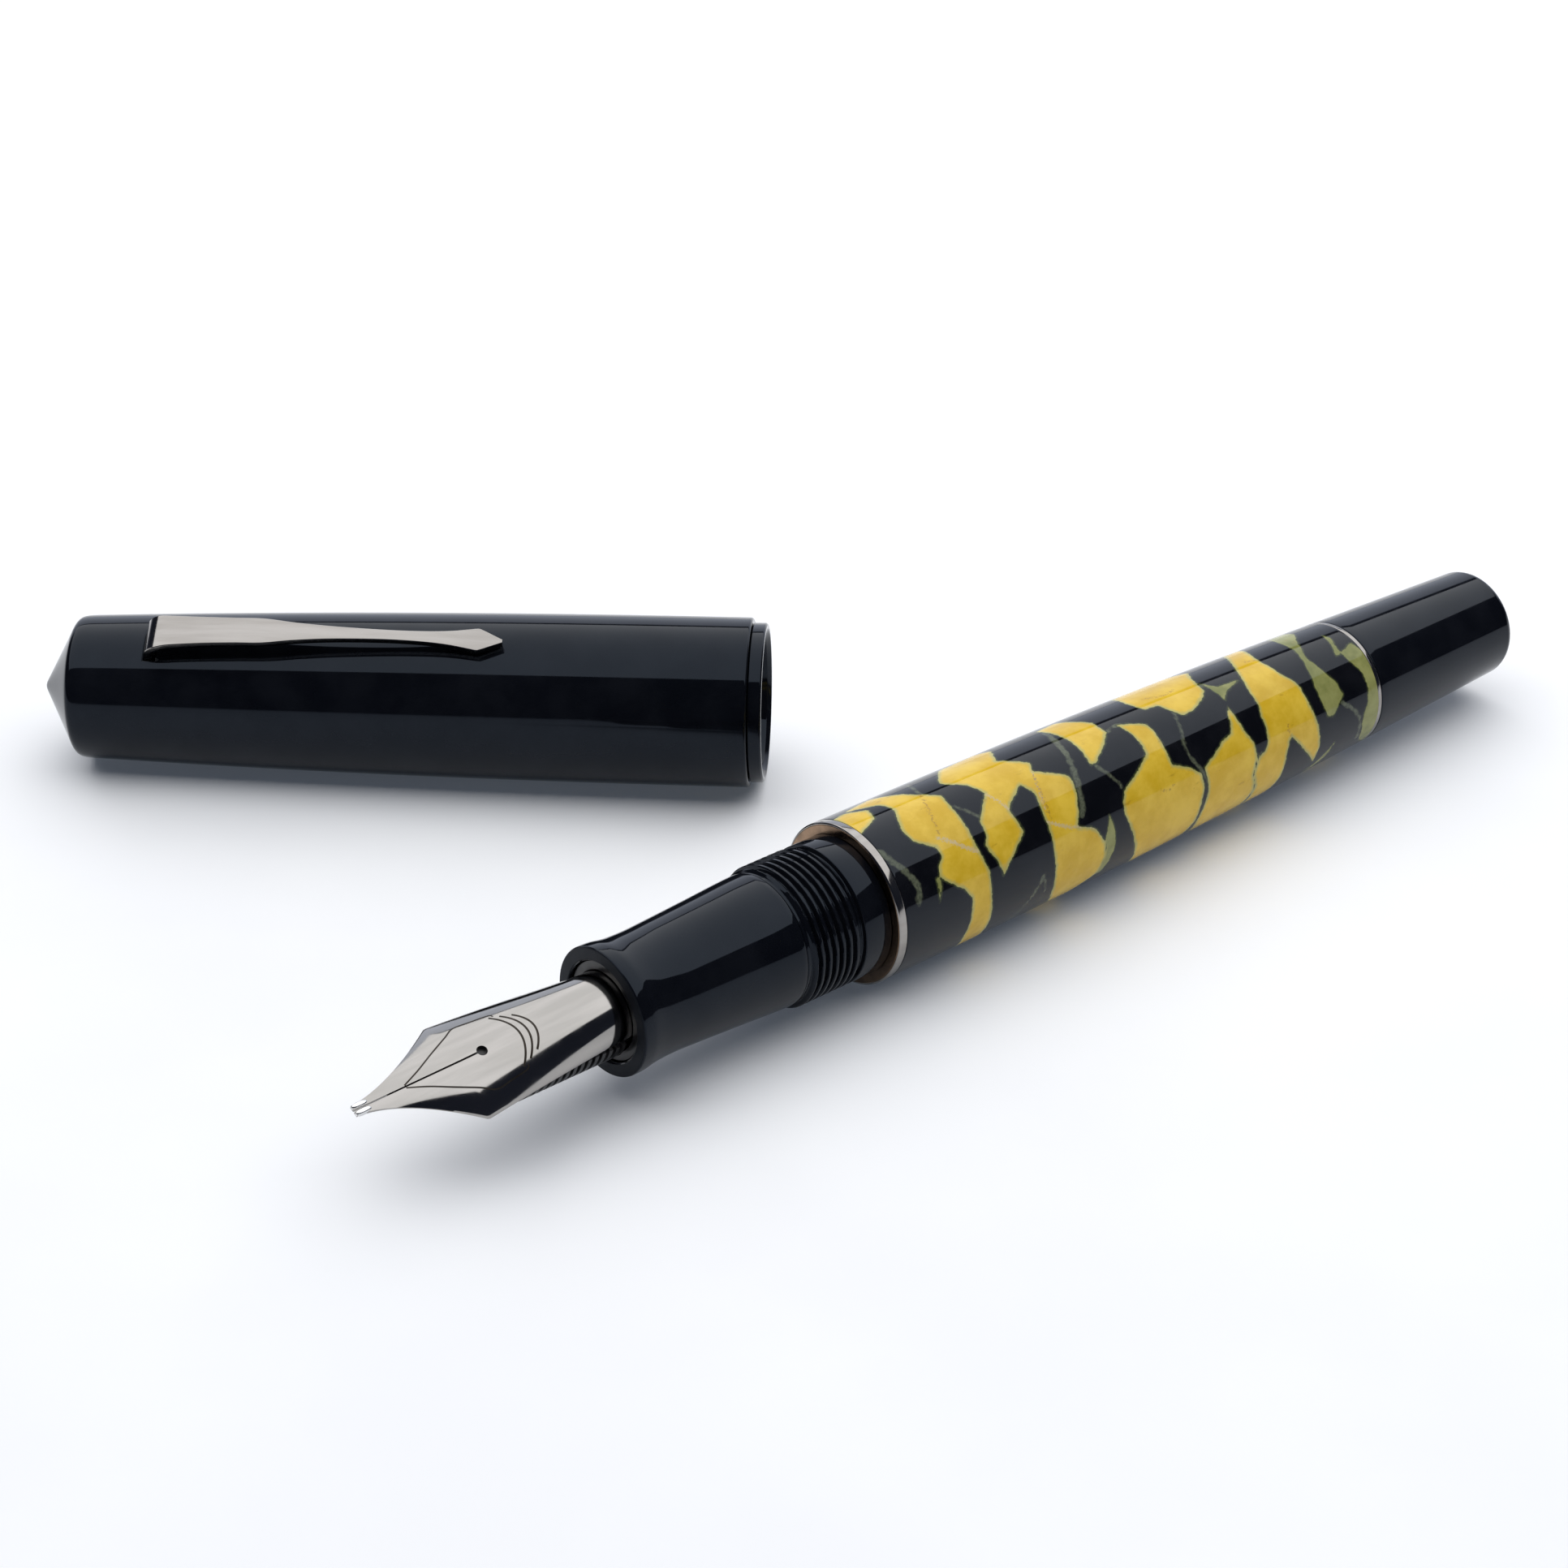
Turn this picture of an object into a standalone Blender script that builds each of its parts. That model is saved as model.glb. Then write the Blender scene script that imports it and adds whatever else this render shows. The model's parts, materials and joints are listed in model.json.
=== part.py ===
"""Fountain pen with its screw cap off and lying beside it.

Two frames hold everything. The pen frame has +X along the pen towards its tail, with zero where the
barrel starts behind the front trim ring. The cap frame has +X along the cap towards its mouth, with zero
at the edge between the cap's cone and its side. Both lie on the plane z = 0.
All sizes below are in millimetres.
"""

import math

import bmesh
import bpy
from mathutils import Matrix, Vector

MM = 0.001
FIT = 0.05            # radial gap between two nested pieces
SEGMENTS = 32         # sides of a turned piece
INNER_SEGMENTS = 24   # sides of a small turned piece

# Where the two halves lie
PEN_PLACE = (7.61, -31.57)
PEN_YAW = math.radians(44.79)
PEN_PITCH = math.radians(-0.33)
CAP_PLACE = (-64.30, 0.78)
CAP_PITCH = math.radians(0.95)

# Barrel, trim rings and blind cap
BARREL_LENGTH = 59.75
BARREL_RADIUS = 7.20
BARREL_TAPER = 1.26       # loss of radius over the barrel
BARREL_BORE = 5.0
FRONT_RING_WIDTH = 0.8
REAR_RING_WIDTH = 0.45
RING_EDGE = 0.1           # chamfer of the front ring
RING_SEAT = 5.8           # radius that the front ring sits on
BLIND_CAP_END = 79.9
BLIND_CAP_END_RADIUS = 5.14
BLIND_CAP_ROUND = 0.9
BLIND_CAP_BORE = 3.95
BLIND_CAP_FLOOR = 71.6    # inside end of the blind cap
BLIND_CAP_CHAMFER = 0.3

# Threaded sleeve in the front of the barrel
SLEEVE_FRONT = -9.58
COLLAR_FRONT = -3.6
COLLAR_RADIUS = 6.19
THREAD_CREST = 6.2
THREAD_ROOT = 5.75
THREAD_PITCH = 0.75
THREAD_TURNS = 7
THREAD_RUNOUT = 0.15      # plain gap between the threads and the collar
SLEEVE_TENON = 5.55
SLEEVE_TENON_END = 12.0
SLEEVE_BORE = 4.6

# Rear bushing that the blind cap screws onto
BUSHING_FRONT = 47.5
BUSHING_END = 65.0
BUSHING_THREAD = 4.4
BUSHING_THREAD_FIT = 0.1
BUSHING_NECK = 4.7        # radius that the rear ring sits on
BUSHING_BORE = 3.95
BUSHING_STEP = 50.5       # where the bore narrows
BUSHING_REAR_BORE = 3.75

# Grip section
GRIP_FRONT = -26.35
GRIP_LIP_RADIUS = 5.58
GRIP_LIP_ROUND = 0.15
GRIP_PROFILE = [(-25.05, 5.52), (-23.75, 5.34), (-21.75, 5.28), (-19.35, 5.38), (-14.85, 5.59)]
GRIP_REAR_RADIUS = 5.86
GRIP_BORE = 4.35
GRIP_BORE_CHAMFER = 0.15
GRIP_TENON = 4.5
GRIP_TENON_END = 3.2
GRIP_SOCKET = 3.6
NIPPLE_HOLE = 1.75
NIPPLE_WALL_FRONT = -12.5  # the wall with the nipple's hole
NIPPLE_WALL_REAR = -8.5

# Nib unit
NIB_ROLL = math.radians(25.7)
NIB_BASE = -15.0
NIB_EXPOSED = -27.0
NIB_HOLE = -38.95
NIB_SHOULDER = -40.85
NIB_TIP = -50.7
NIB_THICKNESS = 0.3
NIB_BASE_HALF_WIDTH = 3.37
NIB_SHOULDER_HALF_WIDTH = 4.64
NIB_TIP_HALF_WIDTH = 0.48
NIB_TINE_CURVE = 1.5      # power that hollows the tines' edges in plan
NIB_BASE_HEIGHT = 3.4     # height of the nib's centre line over the pen's axis
NIB_SHOULDER_HEIGHT = 2.55
NIB_TIP_HEIGHT = 2.17
NIB_BASE_DROP = 2.65      # how far the edges lie below the centre line
NIB_SHOULDER_DROP = 1.9
NIB_TIP_DROP = 0.02
NIB_DROP_CURVE = 1.7
NIB_HOLE_RADIUS = 0.45
SLIT_WIDTH = 0.1
FEED_START = -14.0
FEED_TIP = -47.4
FEED_RADIUS = 3.05
FEED_DEPTH = 3.3
COMB_RADIUS = 3.68       # the finned part, round the pen's axis
NIB_BED_GAP = 0.12        # between the nib's underside and the feed
NIB_EDGE_GAP = 0.1        # between the nib's edges and the comb
GROOVE_COUNT = 6
GROOVE_PITCH = 1.3
GROOVE_WIDTH = 0.6
GROOVE_SIDE = 0.1         # how far a groove's wall slopes
GROOVE_DEPTH = 0.5
FEED_NARROWING = 0.35     # loss of half width in a groove
COLLAR_FRONT_END = -26.0
COLLAR_REAR_END = -12.6
COLLAR_FLOOR = -13.6
COLLAR_BORE = 3.48
COLLAR_OUTER = 4.3
NIPPLE_RADIUS = 1.6
NIPPLE_END = -5.0
INK_HOLE = 0.8

# Converter
MOUTH_START = -8.3
MOUTH_RADIUS = 3.5
MOUTH_BORE = 1.7
MOUTH_END = 8.0
TUBE_RADIUS = 3.3
TUBE_BORE = 2.75
TUBE_START = 4.0
TUBE_END = 46.0
BAND_RADIUS = 3.85
BAND_START = 40.0
BAND_END = 49.6
BAND_FLOOR = 48.0
PISTON_START = 9.0
PISTON_END = 13.0
SEAL_RADIUS = 2.7
SEAL_LIP = 0.5            # length of each sealing lip's slope
SEAL_GROOVE = 0.2
ROD_SOCKET = 2.0
ROD_RADIUS = 0.95
ROD_END = 42.0
SPINDLE_START = 39.0
SPINDLE_END = 57.0
SPINDLE_RADIUS = 1.65
SPINDLE_FIT = 0.15
FLANGE_START = 46.3
FLANGE_WIDTH = 1.4
FLANGE_RADIUS = 2.9
RUNNING_FIT = 0.1
KNOB_RADIUS = 3.55
KNOB_START = 49.9
KNOB_END = 68.6
KNOB_WALL = 1.2
KNOB_ROUND = 0.5

# Cap
CAP_LENGTH = 61.3
CAP_RADIUS = 7.75
CAP_TAPER = 1.18
CAP_TAPER_POWER = 2.2
CONE_APEX = -4.0
CONE_EDGE = -0.72
CONE_EDGE_RADIUS = 6.5
CAP_EDGE = 0.2            # chamfer at the mouth end of the cap's side
CAP_BORE = 5.9
CAP_FLOOR = 2.0           # inside end of the cap
CAP_MIDDLE_BORE = 6.45    # clear of the pen's collar
CAP_MIDDLE_START = 37.6
CAP_SEAT_BORE = 7.0       # where the threaded sleeve is glued in
CAP_SEAT_START = 48.0
LIP_RADIUS = 7.28
LIP_END = 62.6
LIP_EDGE = 0.15
MOUTH_CHAMFER = 0.45
CAP_THREAD_BORE = 6.3
CAP_THREAD_START = 53.0
CAP_SLEEVE_BORE = 6.5
INNER_CAP_START = 2.4
INNER_CAP_FLOOR = 4.0
INNER_CAP_NECK = 4.9      # outside radius beside the clip's foot
INNER_CAP_NECK_END = 9.8
INNER_CAP_END = 36.9
INNER_CAP_WALL = 0.65
INNER_CAP_NECK_WALL = 0.8

# Clip
CLIP_ROLL = math.radians(26.0)
CLIP_LEG = 7.05           # where the clip's leg enters the cap
CLIP_HINGE_HEIGHT = 6.5   # middle of the cap's wall there
CLIP_THICKNESS = 0.9
SLOT_LENGTH = 1.5
SLOT_WIDTH = 3.7
SLOT_DEPTH = 3.0


def clear_scene():
    for item in list(bpy.data.objects):
        bpy.data.objects.remove(item, do_unlink=True)


def material(name, colour, roughness, metallic=0.0):
    made = bpy.data.materials.new(name)
    made.use_nodes = True
    shader = made.node_tree.nodes["Principled BSDF"]
    shader.inputs["Base Color"].default_value = (*colour, 1.0)
    shader.inputs["Roughness"].default_value = roughness
    shader.inputs["Metallic"].default_value = metallic
    made.diffuse_color = (*colour, 1.0)
    return made


def empty(name, location, rotation, parent=None):
    """A frame that pieces hang from. The location is in millimetres."""
    made = bpy.data.objects.new(name, None)
    made.location = Vector(location) * MM
    made.rotation_euler = rotation
    made.parent = parent
    bpy.context.scene.collection.objects.link(made)
    return made


def add_piece(name, mesh_data, frame, look):
    bmesh.ops.remove_doubles(mesh_data, verts=mesh_data.verts, dist=1e-7)
    bmesh.ops.recalc_face_normals(mesh_data, faces=mesh_data.faces)
    mesh = bpy.data.meshes.new(name)
    mesh_data.to_mesh(mesh)
    mesh_data.free()
    mesh.shade_smooth()
    mesh.set_sharp_from_angle(angle=math.radians(35))
    if look:
        mesh.materials.append(look)
    piece = bpy.data.objects.new(name, mesh)
    piece.parent = frame
    bpy.context.scene.collection.objects.link(piece)
    return piece


def turned(name, outline, frame, look, segments=SEGMENTS):
    """Spins an outline of (distance along the axis, radius) about the frame's X axis.
    The outline is a closed loop, unless it starts and ends on the axis."""
    made = bmesh.new()
    corners = [made.verts.new((along * MM, 0.0, radius * MM)) for along, radius in outline]
    solid = outline[0][1] == 0 and outline[-1][1] == 0
    followers = corners[1:] + ([] if solid else corners[:1])
    edges = [made.edges.new(pair) for pair in zip(corners, followers)]
    bmesh.ops.spin(
        made, geom=corners + edges, cent=(0, 0, 0), axis=(1, 0, 0),
        angle=math.tau, steps=segments, use_merge=True,
    )
    return add_piece(name, made, frame, look)


def lofted(name, rings, frame, look):
    """Joins equal rings of points, in millimetres, and closes both ends."""
    made = bmesh.new()
    rows = [[made.verts.new(Vector(point) * MM) for point in ring] for ring in rings]
    count = len(rows[0])
    for near, far in zip(rows, rows[1:]):
        for i in range(count):
            k = (i + 1) % count
            made.faces.new((near[i], near[k], far[k], far[i]))
    made.faces.new(rows[0])
    made.faces.new(rows[-1])
    return add_piece(name, made, frame, look)


def cut(piece, cutter):
    cutter.hide_render = True
    cutter.display_type = "WIRE"
    modifier = piece.modifiers.new("cut_" + cutter.name, "BOOLEAN")
    modifier.operation = "DIFFERENCE"
    modifier.solver = "EXACT"
    modifier.object = cutter


def block(name, low, high, frame):
    """A box cutter between two corners in millimetres."""
    made = bmesh.new()
    bmesh.ops.create_cube(made, size=1.0)
    low, high = Vector(low) * MM, Vector(high) * MM
    size = high - low
    bmesh.ops.transform(
        made, matrix=Matrix.Translation((low + high) / 2) @ Matrix.Diagonal((*size, 1.0)),
        verts=made.verts,
    )
    return add_piece(name, made, frame, None)


def steps(start, end, count):
    return [start + (end - start) * i / count for i in range(count + 1)]


def arc(centre, radius, start, end, count):
    """Points of a circular arc in the (along, radius) plane, with angles in degrees."""
    turns = [math.radians(a) for a in steps(start, end, count)]
    return [(centre[0] + radius * math.cos(t), centre[1] + radius * math.sin(t)) for t in turns]


def barrel_radius(along):
    return BARREL_RADIUS - BARREL_TAPER * (along / BARREL_LENGTH) ** 2


def cap_radius(along):
    return CAP_RADIUS - CAP_TAPER * ((CAP_LENGTH - along) / CAP_LENGTH) ** CAP_TAPER_POWER


def resting_height(outline, pitch):
    """Height of a tilted axis whose turned outline just touches the plane below it."""
    return max(radius * math.cos(pitch) - along * math.sin(pitch) for along, radius in outline)


# ---- Barrel unit ---------------------------------------------------------------------------------

def barrel_outline():
    return [(along, barrel_radius(along)) for along in steps(FIT, BARREL_LENGTH - FIT, 8)]


def make_barrel(frame):
    inside = [
        (BARREL_LENGTH - FIT, BARREL_BORE),
        (SLEEVE_TENON_END + FIT, BARREL_BORE),
        (SLEEVE_TENON_END + FIT, SLEEVE_TENON + FIT),
        (FIT, SLEEVE_TENON + FIT),
    ]
    turned("barrel", barrel_outline() + inside, frame, MARBLED)


def make_thread_sleeve(frame):
    """Black sleeve: cap threads as ridges, smooth collar, seat for the ring, tenon in the barrel."""
    thread_start = COLLAR_FRONT - THREAD_RUNOUT - THREAD_TURNS * THREAD_PITCH
    outside = [(SLEEVE_FRONT, SLEEVE_BORE), (SLEEVE_FRONT, THREAD_ROOT), (thread_start, THREAD_ROOT)]
    for turn in range(THREAD_TURNS):
        ridge = thread_start + turn * THREAD_PITCH
        outside += [(ridge + THREAD_PITCH / 2, THREAD_CREST), (ridge + THREAD_PITCH, THREAD_ROOT)]
    ring_front = -FRONT_RING_WIDTH - FIT
    outside += [
        (COLLAR_FRONT, COLLAR_RADIUS),
        (ring_front, COLLAR_RADIUS),
        (ring_front, RING_SEAT),
        (0.0, RING_SEAT),
        (0.0, SLEEVE_TENON),
        (SLEEVE_TENON_END, SLEEVE_TENON),
        (SLEEVE_TENON_END, SLEEVE_BORE),
    ]
    turned("barrel_thread_sleeve", outside, frame, RESIN)


def make_rings(frame):
    front_bore = RING_SEAT + FIT
    turned("front_trim_ring", [
        (-FRONT_RING_WIDTH, front_bore),
        (-FRONT_RING_WIDTH, BARREL_RADIUS - RING_EDGE),
        (-FRONT_RING_WIDTH + RING_EDGE, BARREL_RADIUS),
        (0.0, BARREL_RADIUS),
        (0.0, front_bore),
    ], frame, METAL)
    start = BARREL_LENGTH
    end = BARREL_LENGTH + REAR_RING_WIDTH
    turned("rear_trim_ring", [
        (start, BUSHING_NECK + FIT),
        (start, barrel_radius(start)),
        (end, barrel_radius(end)),
        (end, BUSHING_NECK + FIT),
    ], frame, METAL)


def make_bushing(frame):
    ring_end = BARREL_LENGTH + REAR_RING_WIDTH + FIT
    tenon = BARREL_BORE - FIT
    turned("rear_bushing", [
        (BUSHING_FRONT, BUSHING_BORE),
        (BUSHING_FRONT, tenon),
        (BARREL_LENGTH - FIT, tenon),
        (BARREL_LENGTH - FIT, BUSHING_NECK),
        (ring_end, BUSHING_NECK),
        (ring_end, BUSHING_THREAD),
        (BUSHING_END, BUSHING_THREAD),
        (BUSHING_END, BUSHING_REAR_BORE),
        (BUSHING_STEP, BUSHING_REAR_BORE),
        (BUSHING_STEP, BUSHING_BORE),
    ], frame, RESIN)


def make_blind_cap(frame):
    start = BARREL_LENGTH + REAR_RING_WIDTH + FIT
    thread = BUSHING_THREAD + BUSHING_THREAD_FIT
    thread_end = BUSHING_END + 2 * BLIND_CAP_CHAMFER
    round_centre = (BLIND_CAP_END - BLIND_CAP_ROUND, BLIND_CAP_END_RADIUS - BLIND_CAP_ROUND)
    outside = [(start, barrel_radius(start))]
    outside += arc(round_centre, BLIND_CAP_ROUND, 88, 0, 4)
    outside += [(BLIND_CAP_END, 0.0)]
    inside = [
        (BLIND_CAP_FLOOR, 0.0),
        (BLIND_CAP_FLOOR, BLIND_CAP_BORE),
        (thread_end, BLIND_CAP_BORE),
        (thread_end, thread),
        (start + 2 * BLIND_CAP_CHAMFER, thread),
        (start + BLIND_CAP_CHAMFER, thread + BLIND_CAP_CHAMFER),
        (start, thread + BLIND_CAP_CHAMFER),
    ]
    # The loop runs from the closed end's inside, out through the mouth, to the closed end's outside.
    turned("blind_cap", inside + outside, frame, RESIN)


# ---- Grip section and nib unit -------------------------------------------------------------------

def make_grip(frame):
    lip_centre = (GRIP_FRONT + GRIP_LIP_ROUND, GRIP_LIP_RADIUS - GRIP_LIP_ROUND)
    outline = [(GRIP_FRONT, GRIP_BORE + GRIP_BORE_CHAMFER)]
    outline += arc(lip_centre, GRIP_LIP_ROUND, 180, 90, 3)
    outline += GRIP_PROFILE
    outline += [
        (SLEEVE_FRONT - FIT, GRIP_REAR_RADIUS),
        (SLEEVE_FRONT - FIT, GRIP_TENON),
        (GRIP_TENON_END, GRIP_TENON),
        (GRIP_TENON_END, GRIP_SOCKET),
        (NIPPLE_WALL_REAR, GRIP_SOCKET),
        (NIPPLE_WALL_REAR, NIPPLE_HOLE),
        (NIPPLE_WALL_FRONT, NIPPLE_HOLE),
        (NIPPLE_WALL_FRONT, GRIP_BORE),
        (GRIP_FRONT + GRIP_BORE_CHAMFER, GRIP_BORE),
    ]
    turned("grip_section", outline, frame, RESIN)


def blend(start, end, part):
    return start + (end - start) * part


def nib_shape(along):
    """Half width in plan, height of the centre line and drop of the edges, at a place on the nib."""
    if along > NIB_EXPOSED:
        return NIB_BASE_HALF_WIDTH, NIB_BASE_HEIGHT, NIB_BASE_DROP
    if along > NIB_SHOULDER:
        part = (NIB_EXPOSED - along) / (NIB_EXPOSED - NIB_SHOULDER)
        return (
            blend(NIB_BASE_HALF_WIDTH, NIB_SHOULDER_HALF_WIDTH, part),
            blend(NIB_BASE_HEIGHT, NIB_SHOULDER_HEIGHT, part),
            blend(NIB_SHOULDER_DROP, NIB_BASE_DROP, (1 - part) ** 2),
        )
    part = (NIB_SHOULDER - along) / (NIB_SHOULDER - NIB_TIP)
    return (
        blend(NIB_TIP_HALF_WIDTH, NIB_SHOULDER_HALF_WIDTH, (1 - part) ** NIB_TINE_CURVE),
        blend(NIB_SHOULDER_HEIGHT, NIB_TIP_HEIGHT, part),
        blend(NIB_TIP_DROP, NIB_SHOULDER_DROP, (1 - part) ** NIB_DROP_CURVE),
    )


def nib_arc(along, inset, count, half_width=None):
    """Points across the nib from one edge to the other, inset towards the inside of its curve."""
    width, height, drop = nib_shape(along)
    bend = (width ** 2 + drop ** 2) / (2 * drop)
    reach = math.atan2(width, bend - drop)
    if half_width is not None:
        reach = math.asin(min(half_width / (bend - inset), math.sin(min(reach, 1.4))))
    radius = bend - inset
    return [
        (along, radius * math.sin(a), height - bend + radius * math.cos(a))
        for a in steps(-reach, reach, count)
    ]


def make_nib(frame):
    stations = [NIB_BASE, NIB_EXPOSED, -29.0, -31.0, -33.0, -35.0, -37.0, -39.0, NIB_SHOULDER, -43.0, -45.5, -48.0, NIB_TIP]
    rings = [
        nib_arc(along, 0.0, 8) + nib_arc(along, NIB_THICKNESS, 8)[::-1]
        for along in stations
    ]
    nib = lofted("nib", rings, frame, METAL)
    hole = turned("nib_hole_cutter", [
        (-5.0, 0.0), (-5.0, NIB_HOLE_RADIUS), (0.0, NIB_HOLE_RADIUS), (0.0, 0.0),
    ], frame, METAL, 12)
    hole.rotation_euler = (0.0, math.radians(90), 0.0)
    hole.location = (NIB_HOLE * MM, 0.0, 0.0)
    slit = block(
        "nib_slit_cutter", (NIB_TIP - 1, -SLIT_WIDTH / 2, 0.5), (NIB_HOLE, SLIT_WIDTH / 2, 5.0), frame
    )
    cut(nib, hole)
    cut(nib, slit)


def feed_ring(along, half_width, depth, comb_radius=None):
    """Cross-section of the feed: it follows the nib's underside and is rounded below. The comb stands out
    under the nib's edges."""
    top = nib_arc(along, NIB_THICKNESS + NIB_BED_GAP, 4, half_width)
    _, side, edge = top[-1]
    start = edge - 2 * NIB_EDGE_GAP
    if comb_radius:
        nib_edge = nib_arc(along, NIB_THICKNESS, 1)[-1][2]
        start = min(start, nib_edge - 2 * NIB_EDGE_GAP)
        rise = math.asin(start / comb_radius)
        under = [
            (along, comb_radius * math.cos(a), -comb_radius * math.sin(a))
            for a in steps(-rise, math.pi + rise, 8)
        ]
    else:
        under = [
            (along, side * math.cos(a), start - (start + depth) * math.sin(a))
            for a in steps(0, math.pi, 8)
        ]
    return top + [(along, side, edge - NIB_EDGE_GAP)] + under + [(along, -side, edge - NIB_EDGE_GAP)]


def make_feed(frame):
    narrow = FEED_RADIUS - FEED_NARROWING
    cut_radius = COMB_RADIUS - GROOVE_DEPTH
    rings = [
        feed_ring(FEED_START, FEED_RADIUS, FEED_DEPTH),
        feed_ring(GRIP_FRONT - 0.2, FEED_RADIUS, FEED_DEPTH),
        feed_ring(GRIP_FRONT - 0.3, FEED_RADIUS, FEED_DEPTH, COMB_RADIUS),
    ]
    for number in range(GROOVE_COUNT):
        start = GRIP_FRONT - 0.9 - GROOVE_PITCH * number
        end = start - GROOVE_WIDTH
        rings += [
            feed_ring(start, FEED_RADIUS, FEED_DEPTH, COMB_RADIUS),
            feed_ring(start - GROOVE_SIDE, narrow, FEED_DEPTH, cut_radius),
            feed_ring(end + GROOVE_SIDE, narrow, FEED_DEPTH, cut_radius),
            feed_ring(end, FEED_RADIUS, FEED_DEPTH, COMB_RADIUS),
        ]
    # The front of the feed rises and narrows towards its tip.
    rings += [
        feed_ring(-36.5, 3.05, FEED_DEPTH, COMB_RADIUS),
        feed_ring(-38.2, 2.8, 2.4),
        feed_ring(-40.5, 2.6, 1.2),
        feed_ring(-43.5, 1.7, -0.1),
        feed_ring(FEED_TIP, 0.5, -1.55),
    ]
    lofted("feed", rings, frame, FEED)


def make_nib_collar(frame):
    turned("nib_collar", [
        (COLLAR_FRONT_END, COLLAR_BORE),
        (COLLAR_FRONT_END, COLLAR_OUTER),
        (COLLAR_REAR_END, COLLAR_OUTER),
        (COLLAR_REAR_END, NIPPLE_RADIUS),
        (NIPPLE_END, NIPPLE_RADIUS),
        (NIPPLE_END, INK_HOLE),
        (COLLAR_FLOOR, INK_HOLE),
        (COLLAR_FLOOR, COLLAR_BORE),
    ], frame, FEED)


# ---- Converter -----------------------------------------------------------------------------------

def make_converter(frame):
    turned("converter_mouth", [
        (MOUTH_START, MOUTH_BORE),
        (MOUTH_START, MOUTH_RADIUS),
        (GRIP_TENON_END + 0.2, MOUTH_RADIUS),
        (GRIP_TENON_END + 0.2, BAND_RADIUS),
        (MOUTH_END, BAND_RADIUS),
        (MOUTH_END, TUBE_RADIUS + FIT),
        (TUBE_START - FIT, TUBE_RADIUS + FIT),
        (TUBE_START - FIT, MOUTH_BORE),
    ], frame, FEED, INNER_SEGMENTS)
    turned("reservoir_tube", [
        (TUBE_START, TUBE_BORE),
        (TUBE_START, TUBE_RADIUS),
        (TUBE_END, TUBE_RADIUS),
        (TUBE_END, TUBE_BORE),
    ], frame, CLEAR, INNER_SEGMENTS)
    turned("converter_band", [
        (BAND_START, TUBE_RADIUS + FIT),
        (BAND_START, BAND_RADIUS),
        (BAND_END, BAND_RADIUS),
        (BAND_END, SPINDLE_RADIUS + SPINDLE_FIT),
        (BAND_FLOOR, SPINDLE_RADIUS + SPINDLE_FIT),
        (BAND_FLOOR, TUBE_RADIUS + FIT),
    ], frame, METAL, INNER_SEGMENTS)


def make_piston(frame):
    edge = SEAL_RADIUS - 0.3
    groove = SEAL_RADIUS - SEAL_GROOVE
    socket = PISTON_END - ROD_SOCKET
    turned("piston_seal", [
        (PISTON_START, 0.0),
        (PISTON_START, edge),
        (PISTON_START + SEAL_LIP, SEAL_RADIUS),
        (PISTON_START + 2 * SEAL_LIP, groove),
        (PISTON_END - 2 * SEAL_LIP, groove),
        (PISTON_END - SEAL_LIP, SEAL_RADIUS),
        (PISTON_END, edge),
        (PISTON_END, ROD_RADIUS + FIT),
        (socket, ROD_RADIUS + FIT),
        (socket, 0.0),
    ], frame, RUBBER, INNER_SEGMENTS)
    turned("piston_rod", [
        (socket + FIT, 0.0),
        (socket + FIT, ROD_RADIUS),
        (ROD_END, ROD_RADIUS),
        (ROD_END, 0.0),
    ], frame, FEED, INNER_SEGMENTS)


def make_knob(frame):
    bore = ROD_RADIUS + RUNNING_FIT
    socket = SPINDLE_RADIUS + RUNNING_FIT
    flange_end = FLANGE_START + FLANGE_WIDTH
    turned("drive_spindle", [
        (SPINDLE_START, bore),
        (SPINDLE_START, SPINDLE_RADIUS),
        (FLANGE_START, SPINDLE_RADIUS),
        (FLANGE_START, FLANGE_RADIUS),
        (flange_end, FLANGE_RADIUS),
        (flange_end, SPINDLE_RADIUS),
        (SPINDLE_END, SPINDLE_RADIUS),
        (SPINDLE_END, bore),
    ], frame, FEED, INNER_SEGMENTS)
    turned("converter_knob", [
        (KNOB_END - KNOB_WALL, 0.0),
        (KNOB_END - KNOB_WALL, bore),
        (SPINDLE_END + 0.3, bore),
        (SPINDLE_END + 0.3, socket),
        (KNOB_START, socket),
        (KNOB_START, KNOB_RADIUS - 0.2),
        (KNOB_START + 0.2, KNOB_RADIUS),
        (KNOB_END - KNOB_ROUND, KNOB_RADIUS),
        (KNOB_END, KNOB_RADIUS - KNOB_ROUND),
        (KNOB_END, 0.0),
    ], frame, FEED, INNER_SEGMENTS)


# ---- Cap -----------------------------------------------------------------------------------------

def cap_outline():
    tip = [(CONE_APEX, 0.0), (CONE_APEX + 0.06, 0.35), (CONE_APEX + 0.25, 0.75)]
    edge = [(CONE_EDGE - 0.2, CONE_EDGE_RADIUS - 0.42), (CONE_EDGE + 0.15, CONE_EDGE_RADIUS - 0.04)]
    side = [(along, cap_radius(along)) for along in steps(0.3, CAP_LENGTH - CAP_EDGE, 9)]
    return tip + edge + side + [(CAP_LENGTH, CAP_RADIUS - CAP_EDGE)]


def make_cap_body(frame):
    inside = [
        (CAP_LENGTH, CAP_SEAT_BORE),
        (CAP_SEAT_START, CAP_SEAT_BORE),
        (CAP_SEAT_START, CAP_MIDDLE_BORE),
        (CAP_MIDDLE_START, CAP_MIDDLE_BORE),
        (CAP_MIDDLE_START, CAP_BORE),
        (CAP_FLOOR, CAP_BORE),
        (CAP_FLOOR, 0.0),
    ]
    return turned("cap_body", cap_outline() + inside, frame, RESIN)


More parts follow.
